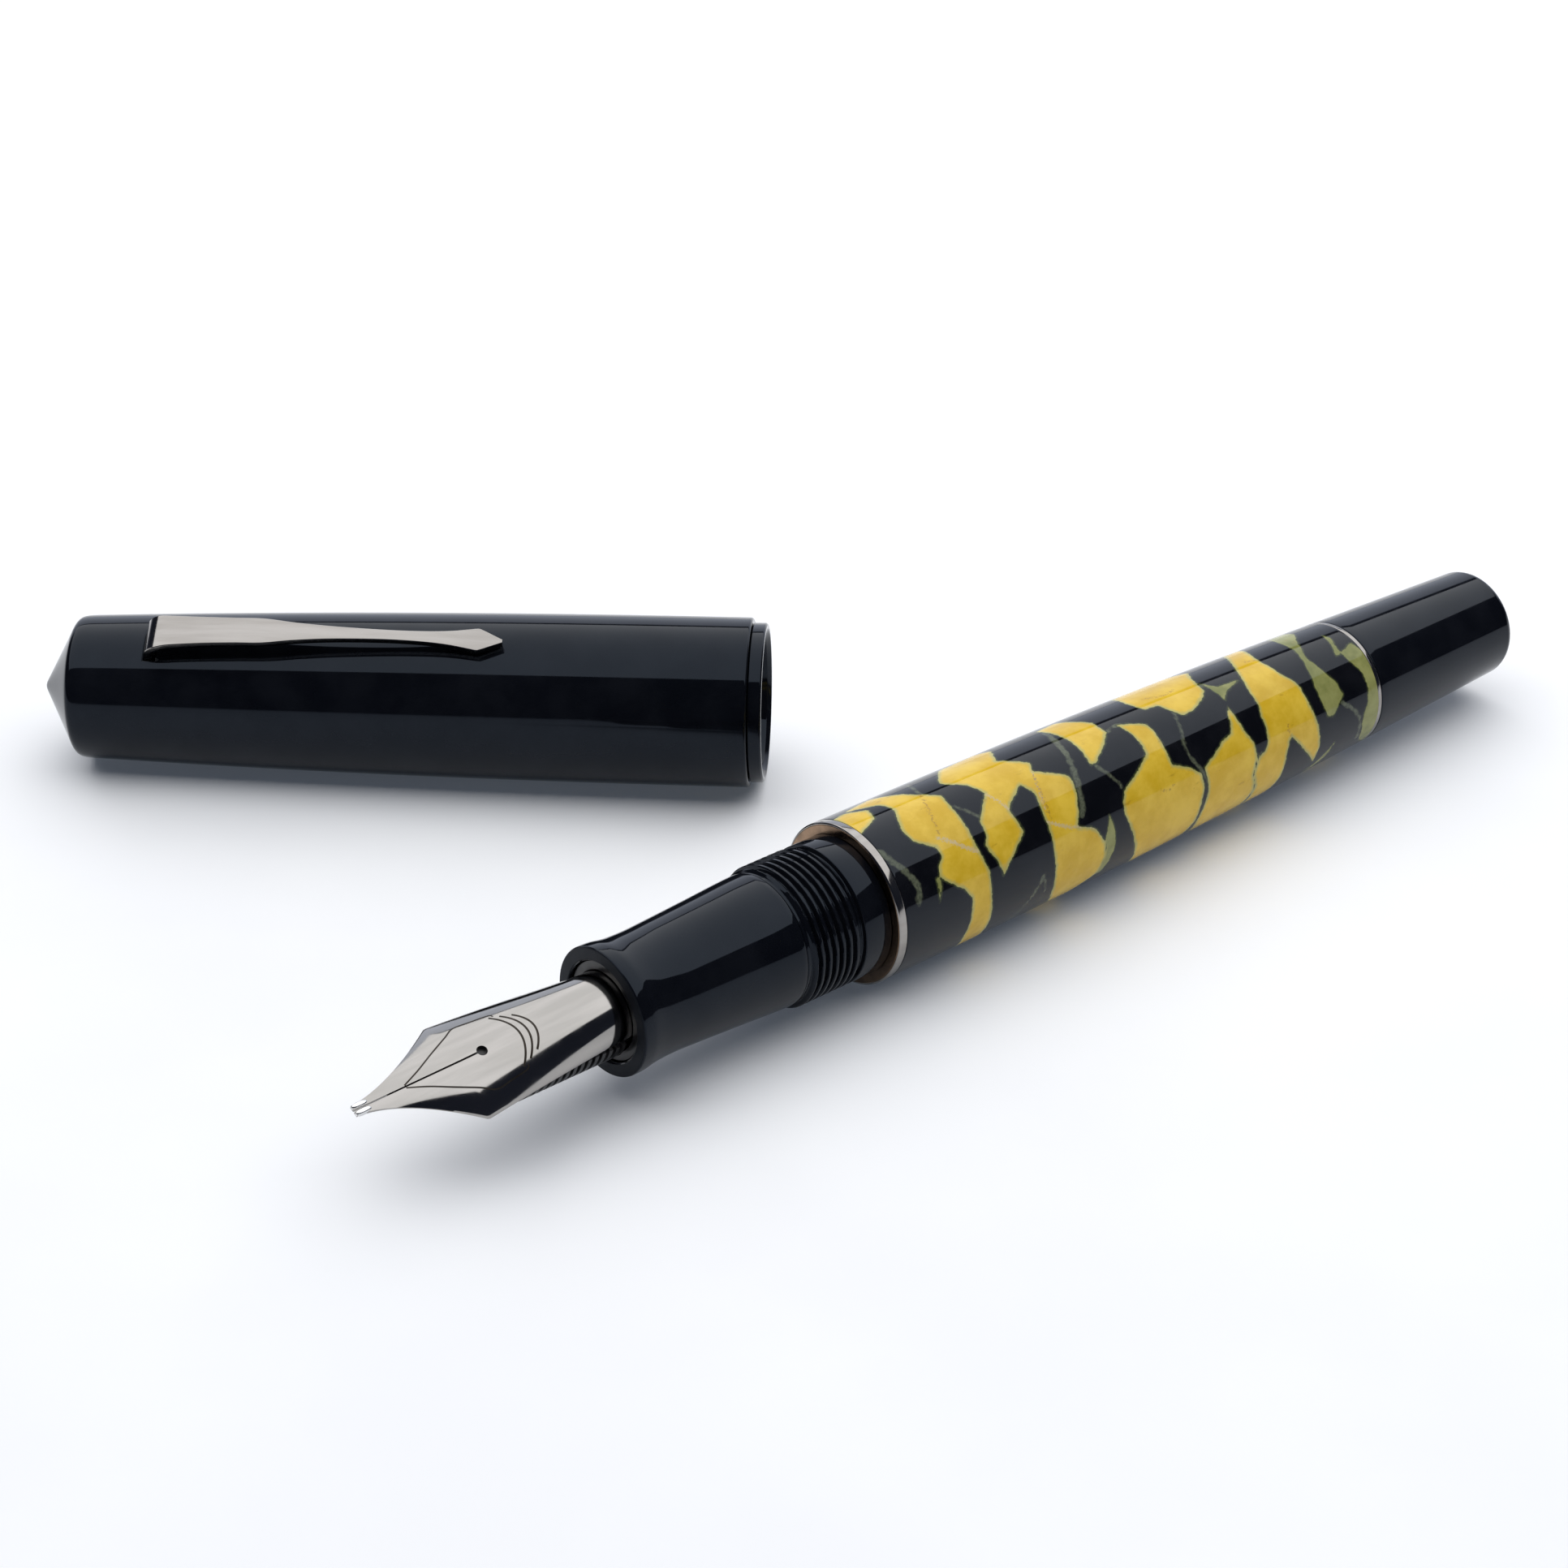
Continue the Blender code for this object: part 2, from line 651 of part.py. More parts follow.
def make_cap_thread_sleeve(frame):
    """The stepped lip at the mouth is the end of this sleeve."""
    front = CAP_SEAT_START + RUNNING_FIT
    seat = CAP_SEAT_BORE - FIT
    flange = CAP_LENGTH + FIT
    turned("cap_thread_sleeve", [
        (front, CAP_SLEEVE_BORE),
        (front, seat),
        (flange, seat),
        (flange, LIP_RADIUS - LIP_EDGE),
        (flange + LIP_EDGE, LIP_RADIUS),
        (LIP_END - LIP_EDGE, LIP_RADIUS),
        (LIP_END, LIP_RADIUS - LIP_EDGE),
        (LIP_END, CAP_THREAD_BORE + MOUTH_CHAMFER),
        (LIP_END - MOUTH_CHAMFER, CAP_THREAD_BORE),
        (CAP_THREAD_START, CAP_THREAD_BORE),
        (CAP_THREAD_START, CAP_SLEEVE_BORE),
    ], frame, RESIN)


def make_inner_cap(frame):
    outer = CAP_BORE - FIT
    bore = outer - INNER_CAP_WALL
    neck_bore = INNER_CAP_NECK - INNER_CAP_NECK_WALL
    turned("inner_cap", [
        (INNER_CAP_START, 0.0),
        (INNER_CAP_START, INNER_CAP_NECK),
        (INNER_CAP_NECK_END, INNER_CAP_NECK),
        (INNER_CAP_NECK_END, outer),
        (INNER_CAP_END, outer),
        (INNER_CAP_END, bore),
        (INNER_CAP_NECK_END + INNER_CAP_NECK_WALL, bore),
        (INNER_CAP_NECK_END + INNER_CAP_NECK_WALL, neck_bore),
        (INNER_CAP_FLOOR, neck_bore),
        (INNER_CAP_FLOOR, 0.0),
    ], frame, RESIN)


def clip_spine():
    """(along, height, half width) of the middle of the clip's thickness, from the leg's foot to the tip."""
    leg = CLIP_LEG
    return [
        (leg, 5.25, 1.65),
        (leg, 7.2, 1.7),
        (leg + 0.15, 7.75, 1.78),
        (leg + 0.55, 8.2, 1.8),
        (leg + 1.25, 8.48, 1.76),
        (12.0, 8.72, 1.5),
        (17.6, 8.86, 1.40),
        (20.5, 8.86, 1.02),
        (24.0, 8.82, 0.74),
        (28.5, 8.70, 0.58),
        (32.0, 8.55, 0.62),
        (34.4, 8.42, 0.80),
        (37.0, 8.28, 1.22),
        (39.2, 8.12, 0.20),
    ]


def make_clip(frame):
    """A bent strip: each ring is square to the spine. The frame's origin is on the flex axis."""
    spine = clip_spine()
    rings = []
    for number, (along, height, half_width) in enumerate(spine):
        before = spine[max(number - 1, 0)]
        after = spine[min(number + 1, len(spine) - 1)]
        slope = math.atan2(after[1] - before[1], after[0] - before[0])
        half = CLIP_THICKNESS / 2
        across, rise = -math.sin(slope) * half, math.cos(slope) * half
        low = (along - across - CLIP_LEG, height - rise - CLIP_HINGE_HEIGHT)
        high = (along + across - CLIP_LEG, height + rise - CLIP_HINGE_HEIGHT)
        rings.append([
            (low[0], -half_width, low[1]), (low[0], half_width, low[1]),
            (high[0], half_width, high[1]), (high[0], -half_width, high[1]),
        ])
    clip = lofted("clip", rings, frame, METAL)
    bevel = clip.modifiers.new("soft_edges", "BEVEL")
    bevel.width = 0.12 * MM
    bevel.segments = 1
    bevel.limit_method = "ANGLE"
    bevel.angle_limit = math.radians(50)
    return clip


def cut_clip_slot(cap_body, frame):
    low = (-SLOT_LENGTH / 2, -SLOT_WIDTH / 2, -SLOT_DEPTH / 2)
    high = (SLOT_LENGTH / 2, SLOT_WIDTH / 2, SLOT_DEPTH / 2)
    cut(cap_body, block("clip_slot_cutter", low, high, frame))


# ---- Layout --------------------------------------------------------------------------------------

def centre_on_origin(frames):
    """Slides both frames in the plane until the origin is under the middle of the whole object."""
    bpy.context.view_layer.update()
    points = [
        piece.matrix_world @ corner.co
        for piece in bpy.context.scene.objects
        if piece.type == "MESH" and not piece.hide_render
        for corner in piece.data.vertices
    ]
    for axis in (0, 1):
        values = [point[axis] for point in points]
        middle = (min(values) + max(values)) / 2
        for frame in frames:
            frame.location[axis] -= middle


clear_scene()
RESIN = material("black_resin", (0.006, 0.007, 0.010), 0.08)
MARBLED = material("marbled_resin", (0.85, 0.55, 0.10), 0.10)
METAL = material("gunmetal", (0.42, 0.40, 0.38), 0.18, 1.0)
FEED = material("feed_plastic", (0.010, 0.010, 0.012), 0.35)
CLEAR = material("clear_plastic", (0.80, 0.83, 0.85), 0.05)
RUBBER = material("seal_rubber", (0.03, 0.03, 0.03), 0.6)

pen_height = resting_height([(0.0, BARREL_RADIUS)] + barrel_outline(), PEN_PITCH)
pen_frame = empty("pen_frame", (*PEN_PLACE, pen_height), (0.0, -PEN_PITCH, PEN_YAW))
nib_frame = empty("nib_frame", (0, 0, 0), (NIB_ROLL, 0.0, 0.0), pen_frame)
cap_height = resting_height(cap_outline(), CAP_PITCH)
cap_frame = empty("cap_frame", (*CAP_PLACE, cap_height), (0.0, -CAP_PITCH, 0.0))
clip_frame = empty(
    "clip_frame",
    (CLIP_LEG, -CLIP_HINGE_HEIGHT * math.sin(CLIP_ROLL), CLIP_HINGE_HEIGHT * math.cos(CLIP_ROLL)),
    (CLIP_ROLL, 0.0, 0.0),
    cap_frame,
)

make_barrel(pen_frame)
make_thread_sleeve(pen_frame)
make_rings(pen_frame)
make_bushing(pen_frame)
make_blind_cap(pen_frame)
make_grip(pen_frame)
make_nib(nib_frame)
make_feed(nib_frame)
make_nib_collar(pen_frame)
make_converter(pen_frame)
make_piston(pen_frame)
make_knob(pen_frame)
cap_body_piece = make_cap_body(cap_frame)
make_cap_thread_sleeve(cap_frame)
make_inner_cap(cap_frame)
make_clip(clip_frame)
cut_clip_slot(cap_body_piece, clip_frame)
centre_on_origin([pen_frame, cap_frame])
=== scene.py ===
"""Looks of the fountain pen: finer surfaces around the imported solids, materials, light and camera.

Sizes are in millimetres. The pen frame has +X along the pen towards its tail, with zero where the barrel
starts behind the front trim ring. The cap frame has +X towards the cap's mouth, with zero at the edge
between the cap's cone and its side.
"""

import json
import math
import random

import bmesh
import bpy
import numpy as np
from mathutils import Matrix, Vector


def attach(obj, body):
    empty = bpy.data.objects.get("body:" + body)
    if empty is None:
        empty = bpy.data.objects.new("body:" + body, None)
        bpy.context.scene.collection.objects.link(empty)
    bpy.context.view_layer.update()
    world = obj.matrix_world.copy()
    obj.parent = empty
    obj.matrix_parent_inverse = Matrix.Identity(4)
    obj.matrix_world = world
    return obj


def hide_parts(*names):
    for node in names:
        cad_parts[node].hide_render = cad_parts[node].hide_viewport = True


MM = 0.001
SIDES = 144
THREAD_SIDES = 180

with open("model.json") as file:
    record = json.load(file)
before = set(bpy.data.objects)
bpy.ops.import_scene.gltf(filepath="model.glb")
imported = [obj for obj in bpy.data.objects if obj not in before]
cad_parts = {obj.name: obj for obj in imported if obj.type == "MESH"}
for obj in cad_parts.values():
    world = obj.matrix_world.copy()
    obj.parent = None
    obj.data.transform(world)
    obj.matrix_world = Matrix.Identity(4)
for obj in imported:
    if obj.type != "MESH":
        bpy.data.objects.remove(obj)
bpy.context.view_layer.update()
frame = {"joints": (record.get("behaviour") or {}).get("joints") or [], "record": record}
joints = {joint["name"]: joint for joint in frame["joints"]}
mounts = {mount["name"]: mount for mount in frame["record"]["mounts"]}

# Sizes repeated from the CAD
BARREL_LENGTH = 59.75
BARREL_RADIUS = 7.20
BARREL_TAPER = 1.26
CAP_LENGTH = 61.3
CAP_RADIUS = 7.75
CAP_TAPER = 1.18
CAP_TAPER_POWER = 2.2
LIP_END = 62.6
LIP_MOUNT_OFFSET = 6.95
CLIP_LEG = 7.05
CLIP_HINGE_HEIGHT = 6.5
CLIP_THICKNESS = 0.9
CLIP_ROLL = math.radians(26.0)
NIB_ROLL = math.radians(25.7)
NIB_BASE = -15.0
NIB_HOLE = -38.95
NIB_HOLE_RADIUS = 0.45
NIB_SHOULDER = -40.85
NIB_TIP = -50.7
NIB_EXPOSED = -27.0
NIB_THICKNESS = 0.3
# Half width in plan, height of the centre line and drop of the edges, at three places along the nib
NIB_AT_SECTION = (3.37, 3.4, 2.65)
NIB_AT_SHOULDER = (4.64, 2.55, 1.9)
NIB_AT_TIP = (0.48, 2.17, 0.02)
# Half width of the slit at the breather hole and at the tip
NIB_SLIT = (0.085, 0.065)
NIB_TINE_POWER = 1.5
NIB_DROP_POWER = 1.7
FEED_GAP = 0.06
COMB_RADIUS = 3.68
COMB_SLOT_RADIUS = 3.2
FIN_PITCH = 0.7
FIN_THICKNESS = 0.35
FIN_EDGE = 0.05
GRIP_FRONT = -26.35
CLIP_SLOT = (1.12, 3.5, 3.0)


# ---- Frames --------------------------------------------------------------------------------------

def turned_frame(origin, along):
    """Frame with X along a turned piece's axis and Y level."""
    across = Vector((0, 0, 1)).cross(along).normalized()
    up = along.cross(across)
    rotation = Matrix((along, across, up)).transposed().to_4x4()
    return Matrix.Translation(origin) @ rotation


tail = Vector(joints["blind_cap_unscrew"]["axis"]).normalized()
PEN = turned_frame(Vector(joints["knob_turn"]["pos_m"]), tail)
NIB = PEN @ Matrix.Rotation(NIB_ROLL, 4, "X")
mouth = Vector(mounts["cap_lip_face"]["axis"]).normalized()
lip_point = Vector(mounts["cap_lip_face"]["pos_m"])
across_cap = Vector((0, 0, 1)).cross(mouth).normalized()
CAP = turned_frame(lip_point - mouth * LIP_END * MM - across_cap * LIP_MOUNT_OFFSET * MM, mouth)
hinge_offset = (
    CLIP_LEG * MM,
    -CLIP_HINGE_HEIGHT * math.sin(CLIP_ROLL) * MM,
    CLIP_HINGE_HEIGHT * math.cos(CLIP_ROLL) * MM,
)
CLIP = CAP @ Matrix.Translation(hinge_offset) @ Matrix.Rotation(CLIP_ROLL, 4, "X")


# ---- Shapes --------------------------------------------------------------------------------------

def place(name, vertices, faces, matrix, body, looks, sharp=35, stands_for=()):
    """Makes a piece from points in millimetres in its own frame, and puts it on its body."""
    mesh = bpy.data.meshes.new(name)
    mesh.from_pydata([tuple(v) for v in np.asarray(vertices) * MM], [], faces)
    tidy = bmesh.new()
    tidy.from_mesh(mesh)
    bmesh.ops.remove_doubles(tidy, verts=tidy.verts, dist=2e-7)
    bmesh.ops.recalc_face_normals(tidy, faces=tidy.faces)
    tidy.to_mesh(mesh)
    tidy.free()
    mesh.shade_smooth()
    mesh.set_sharp_from_angle(angle=math.radians(sharp))
    for look in looks:
        mesh.materials.append(look)
    piece = bpy.data.objects.new(name, mesh)
    bpy.context.scene.collection.objects.link(piece)
    piece.matrix_world = matrix
    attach(piece, body)
    if stands_for:
        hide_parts(*stands_for)
    return piece


def softened(outline, radius, closed):
    """Rounds each corner of an outline with a short curve."""
    points = [Vector(p) for p in outline]
    made = []
    count = len(points)
    for i, point in enumerate(points):
        if not closed and i in (0, count - 1):
            made.append(point)
            continue
        before, after = points[i - 1], points[(i + 1) % count]
        to_before, to_after = before - point, after - point
        turn = math.pi - to_before.angle(to_after, math.pi)
        if turn < math.radians(20):
            made.append(point)
            continue
        reach = min(radius, 0.45 * to_before.length, 0.45 * to_after.length)
        start = point + to_before.normalized() * reach
        end = point + to_after.normalized() * reach
        for t in (0, 0.25, 0.5, 0.75, 1):
            made.append(start * (1 - t) ** 2 + point * 2 * t * (1 - t) + end * t * t)
    return made


def skin(rows, count, base=0, loop=False, ends=False):
    """Faces between rows of points, where each row is a closed ring of count points."""
    faces = []
    for i in range(rows if loop else rows - 1):
        a, b = base + i * count, base + (i + 1) % rows * count
        for j in range(count):
            m = (j + 1) % count
            faces.append((a + j, b + j, b + m, a + m))
    if ends:
        faces.append([base + j for j in range(count)])
        faces.append([base + (rows - 1) * count + j for j in range(count)])
    return faces


def turned(
    name, outline, matrix, body, look, stands_for=(), edge=0.08, sides=SIDES, shape=None
):
    """Turns an outline of (along, radius) about X. Shape can move the radius at (along, radius, angle)."""
    closed = outline[0][1] > 0 or outline[-1][1] > 0
    points = softened(outline, edge, closed)
    angles = np.arange(sides) * math.tau / sides
    along = np.array([p[0] for p in points])[:, None] * np.ones(sides)
    radius = np.array([p[1] for p in points])[:, None] * np.ones(sides)
    if shape:
        radius = shape(along, radius, angles[None, :])
    vertices = np.stack([along, radius * np.cos(angles), radius * np.sin(angles)], -1).reshape(-1, 3)
    faces = skin(len(points), sides, loop=closed)
    return place(name, vertices, faces, matrix, body, [look], stands_for=stands_for)


def smooth_line(points, step):
    """Catmull-Rom curve through points, with a point about every step."""
    points = [np.array(p, float) for p in points]
    points = [2 * points[0] - points[1]] + points + [2 * points[-1] - points[-2]]
    made = []
    for a, b, c, d in zip(points, points[1:], points[2:], points[3:]):
        count = max(2, int(np.linalg.norm(c - b) / step))
        for i in range(count):
            t = i / count
            made.append(0.5 * (
                2 * b + (c - a) * t + (2 * a - 5 * b + 4 * c - d) * t * t + (3 * b - a - 3 * c + d) * t ** 3
            ))
    return made + [points[-2]]


def steps(start, end, count):
    return [start + (end - start) * i / count for i in range(count + 1)]


def thread(start, end, pitch, depth, low, high):
    """Helical ridge that stands depth out of a wall between two places along the axis."""
    def shape(along, radius, angle):
        turns = (along - start) / pitch - angle / math.tau
        part = np.abs(2 * (turns - np.floor(turns)) - 1)
        ridge = np.clip((part - 0.25) / 0.5, 0, 1)
        ridge = ridge * ridge * (3 - 2 * ridge)
        run_in = np.clip((along - start) / (0.6 * pitch), 0, 1)
        run_out = np.clip((end - along) / (0.6 * pitch), 0, 1)
        fade = run_in * run_out
        wall = (radius > low) & (radius < high)
        return radius + np.where(wall, depth * ridge * fade, 0)
    return shape


def barrel_radius(along):
    return BARREL_RADIUS - BARREL_TAPER * (along / BARREL_LENGTH) ** 2


def cap_radius(along):
    return CAP_RADIUS - CAP_TAPER * ((CAP_LENGTH - along) / CAP_LENGTH) ** CAP_TAPER_POWER


# ---- Materials -----------------------------------------------------------------------------------

def map_range(tree, value, low, high, to_low, to_high, smooth=True):
    node = tree.nodes.new("ShaderNodeMapRange")
    node.interpolation_type = "SMOOTHSTEP" if smooth else "LINEAR"
    for name, number in zip(("From Min", "From Max", "To Min", "To Max"), (low, high, to_low, to_high)):
        node.inputs[name].default_value = number
    tree.links.new(value, node.inputs["Value"])
    return node.outputs["Result"]


class Look:
    """A node material with short calls for its nodes."""

    def __init__(self, name):
        self.material = bpy.data.materials.new(name)
        self.material.use_nodes = True
        self.tree = self.material.node_tree
        self.shader = self.tree.nodes["Principled BSDF"]
        coordinates = self.tree.nodes.new("ShaderNodeTexCoord")
        self.place = coordinates.outputs["Object"]

    def put(self, node, name, value):
        if hasattr(value, "is_output"):
            self.tree.links.new(value, node.inputs[name])
        else:
            node.inputs[name].default_value = value

    def set(self, name, value):
        self.put(self.shader, name, value)

    def scaled(self, x, y, z):
        node = self.tree.nodes.new("ShaderNodeMapping")
        self.put(node, "Vector", self.place)
        node.inputs["Scale"].default_value = (x, y, z)
        return node.outputs["Vector"]

    def noise(self, scale, detail=3.0, vector=None, rough=0.5):
        node = self.tree.nodes.new("ShaderNodeTexNoise")
        self.put(node, "Vector", vector or self.place)
        node.inputs["Scale"].default_value = scale
        node.inputs["Detail"].default_value = detail
        node.inputs["Roughness"].default_value = rough
        return node.outputs["Fac"]

    def ramp(self, value, low, high, to_low=0.0, to_high=1.0, smooth=True):
        return map_range(self.tree, value, low, high, to_low, to_high, smooth)

    def math(self, operation, a, b=0.0):
        node = self.tree.nodes.new("ShaderNodeMath")
        node.operation = operation
        self.put(node, 0, a)
        self.put(node, 1, b)
        return node.outputs[0]

    def mix(self, part, a, b):
        node = self.tree.nodes.new("ShaderNodeMix")
        node.data_type = "RGBA"
        self.put(node, 0, part)
        self.put(node, 6, a)
        self.put(node, 7, b)
        return node.outputs[2]

    def attribute(self, name):
        node = self.tree.nodes.new("ShaderNodeAttribute")
        node.attribute_name = name
        return node.outputs["Fac"]

    def bump(self, height, strength, distance):
        node = self.tree.nodes.new("ShaderNodeBump")
        node.inputs["Strength"].default_value = strength
        node.inputs["Distance"].default_value = distance
        self.put(node, "Height", height)
        self.set("Normal", node.outputs["Normal"])


def colour(red, green, blue):
    return (red, green, blue, 1.0)


def black_resin(name="black_resin_polished", matte_before=None):
    """Polished resin, left unpolished in front of matte_before, in metres along the piece."""
    look = Look(name)
    cloud = look.noise(260.0, 4.0)
    look.set("Base Color", look.mix(
        look.ramp(cloud, 0.35, 0.7), colour(0.0035, 0.0042, 0.0065), colour(0.0065, 0.0075, 0.0105)))
    gloss = look.ramp(look.noise(900.0, 3.0), 0.3, 0.75, 0.035, 0.075)
    if matte_before is not None:
        parts = look.tree.nodes.new("ShaderNodeSeparateXYZ")
        look.put(parts, 0, look.place)
        matte = look.ramp(parts.outputs["X"], matte_before, matte_before + 0.04 * MM, 0.5, 0.0)
        gloss = look.math("ADD", gloss, matte)
    look.set("Roughness", gloss)
    look.bump(look.noise(2500.0, 2.0), 0.02, 0.00002)
    look.set("IOR", 1.32)
    look.set("Specular Tint", colour(0.60, 0.72, 0.90))
    return look.material


def satin_plastic():
    look = Look("satin_plastic")
    cloud = look.noise(700.0, 4.0)
    look.set("Base Color", look.mix(
        look.ramp(cloud, 0.3, 0.7), colour(0.007, 0.007, 0.008), colour(0.014, 0.014, 0.015)))
    look.set("Roughness", look.ramp(cloud, 0.3, 0.7, 0.28, 0.42))
    look.bump(look.noise(4000.0, 2.0), 0.08, 0.00003)
    return look.material


def metal(name, dark, light, rough_low, rough_high, streak=(80.0, 900.0, 900.0)):
    look = Look(name)
    grain = look.noise(1.0, 4.0, look.scaled(*streak))
    look.set("Base Color", look.mix(look.ramp(grain, 0.3, 0.7), colour(*dark), colour(*light)))
    look.set("Metallic", 1.0)
    look.set("Roughness", look.ramp(look.noise(600.0, 3.0), 0.3, 0.7, rough_low, rough_high))
    look.bump(grain, 0.02, 0.00002)
    return look.material


def clear_plastic():
    look = Look("clear_tube")
    look.set("Base Color", look.mix(
        look.ramp(look.noise(300.0), 0.3, 0.7), colour(0.86, 0.89, 0.90), colour(0.93, 0.95, 0.96)))
    look.set("Roughness", look.ramp(look.noise(800.0), 0.3, 0.7, 0.03, 0.07))
    look.set("Transmission Weight", 0.92)
    look.set("IOR", 1.49)
    return look.material


def seal_rubber():
    look = Look("seal_rubber_dark")
    cloud = look.noise(900.0)
    look.set("Base Color", look.mix(
        look.ramp(cloud, 0.3, 0.7), colour(0.02, 0.02, 0.022), colour(0.04, 0.04, 0.04)))
    look.set("Roughness", look.ramp(cloud, 0.3, 0.7, 0.45, 0.6))
    return look.material


def marbled_resin():
    """Polished black resin with cast-in shards. The mesh carries each point's depth inside a shard."""
    look = Look("marbled_resin_polished")
    wobble = look.noise(1500.0, 4.0)
    fine = look.noise(5200.0, 3.0)
    depth = look.attribute("shard_depth")
    depth = look.math("ADD", depth, look.ramp(wobble, 0.2, 0.8, -0.10, 0.10, smooth=False))
    depth = look.math("ADD", depth, look.ramp(fine, 0.2, 0.8, -0.05, 0.05, smooth=False))
    inside = look.ramp(depth, -0.02, 0.06)
    cloud = look.noise(330.0, 5.0, rough=0.6)
    core = look.mix(
        look.ramp(cloud, 0.35, 0.68), colour(0.68, 0.43, 0.022), colour(0.82, 0.56, 0.06))
    pale = look.mix(look.ramp(cloud, 0.3, 0.7), colour(0.42, 0.40, 0.12), colour(0.52, 0.48, 0.17))
    yellow = look.mix(look.ramp(depth, 0.02, 0.45), pale, core)
    green = look.mix(look.ramp(cloud, 0.3, 0.7), colour(0.19, 0.205, 0.06), colour(0.33, 0.335, 0.12))
    shard = look.mix(look.attribute("shard_green"), yellow, green)
    streak = look.noise(1.0, 5.0, look.scaled(300.0, 900.0, 900.0), 0.7)
    brown = look.math("MULTIPLY", look.ramp(streak, 0.62, 0.70), 0.35)
    shard = look.mix(brown, shard, colour(0.34, 0.16, 0.02))
    crack = look.math("ADD", look.attribute("crack_depth"), look.ramp(fine, 0.2, 0.8, -0.16, 0.16))
    crack = look.math("MULTIPLY", look.ramp(crack, -0.05, 0.12), 0.75)
    shard = look.mix(crack, shard, colour(0.62, 0.50, 0.30))
    stain = look.math("ADD", look.attribute("stain_depth"), look.ramp(fine, 0.2, 0.8, -0.2, 0.2))
    stain = look.math("MULTIPLY", look.ramp(stain, -0.05, 0.15), 0.6)
    shard = look.mix(stain, shard, colour(0.36, 0.19, 0.04))
    base = look.mix(
        look.ramp(cloud, 0.35, 0.7), colour(0.0038, 0.0042, 0.006), colour(0.0075, 0.008, 0.0105))
    vein = look.math("ADD", look.attribute("vein_depth"), look.ramp(wobble, 0.2, 0.8, -0.14, 0.14))
    misty = look.math("MULTIPLY", look.ramp(vein, -0.12, 0.16), look.ramp(fine, 0.2, 0.7, 0.45, 0.95))
    base = look.mix(misty, base, colour(0.13, 0.145, 0.095))
    base = look.mix(look.ramp(depth, -0.22, 0.0), base, colour(0.055, 0.065, 0.025))
    look.set("Base Color", look.mix(inside, base, shard))
    look.set("Roughness", look.ramp(look.noise(900.0, 3.0), 0.3, 0.75, 0.03, 0.07))
    look.set("IOR", 1.34)
    look.set("Specular Tint", colour(0.70, 0.80, 0.95))
    look.bump(look.noise(2500.0, 2.0), 0.02, 0.00002)
    return look.material


BLACK = black_resin()
SECTION = black_resin("black_resin_section", (GRIP_FRONT + 0.03) * MM)
MARBLED = marbled_resin()
SATIN = satin_plastic()
GUNMETAL = metal("gunmetal_plate", (0.27, 0.255, 0.24), (0.33, 0.315, 0.30), 0.09, 0.15)
NIB_METAL = metal("nib_plate", (0.30, 0.29, 0.275), (0.36, 0.345, 0.33), 0.07, 0.12)
BRONZE = metal(
    "ring_face_bronze", (0.20, 0.135, 0.09), (0.30, 0.20, 0.13), 0.16, 0.26, (900.0, 900.0, 900.0))
TIPPING = metal("tipping_metal", (0.66, 0.66, 0.66), (0.76, 0.76, 0.76), 0.14, 0.22)
ENGRAVED = metal("engraved_line", (0.03, 0.025, 0.02), (0.05, 0.045, 0.04), 0.35, 0.5)
CLEAR = clear_plastic()
RUBBER = seal_rubber()


# ---- Marbling ------------------------------------------------------------------------------------

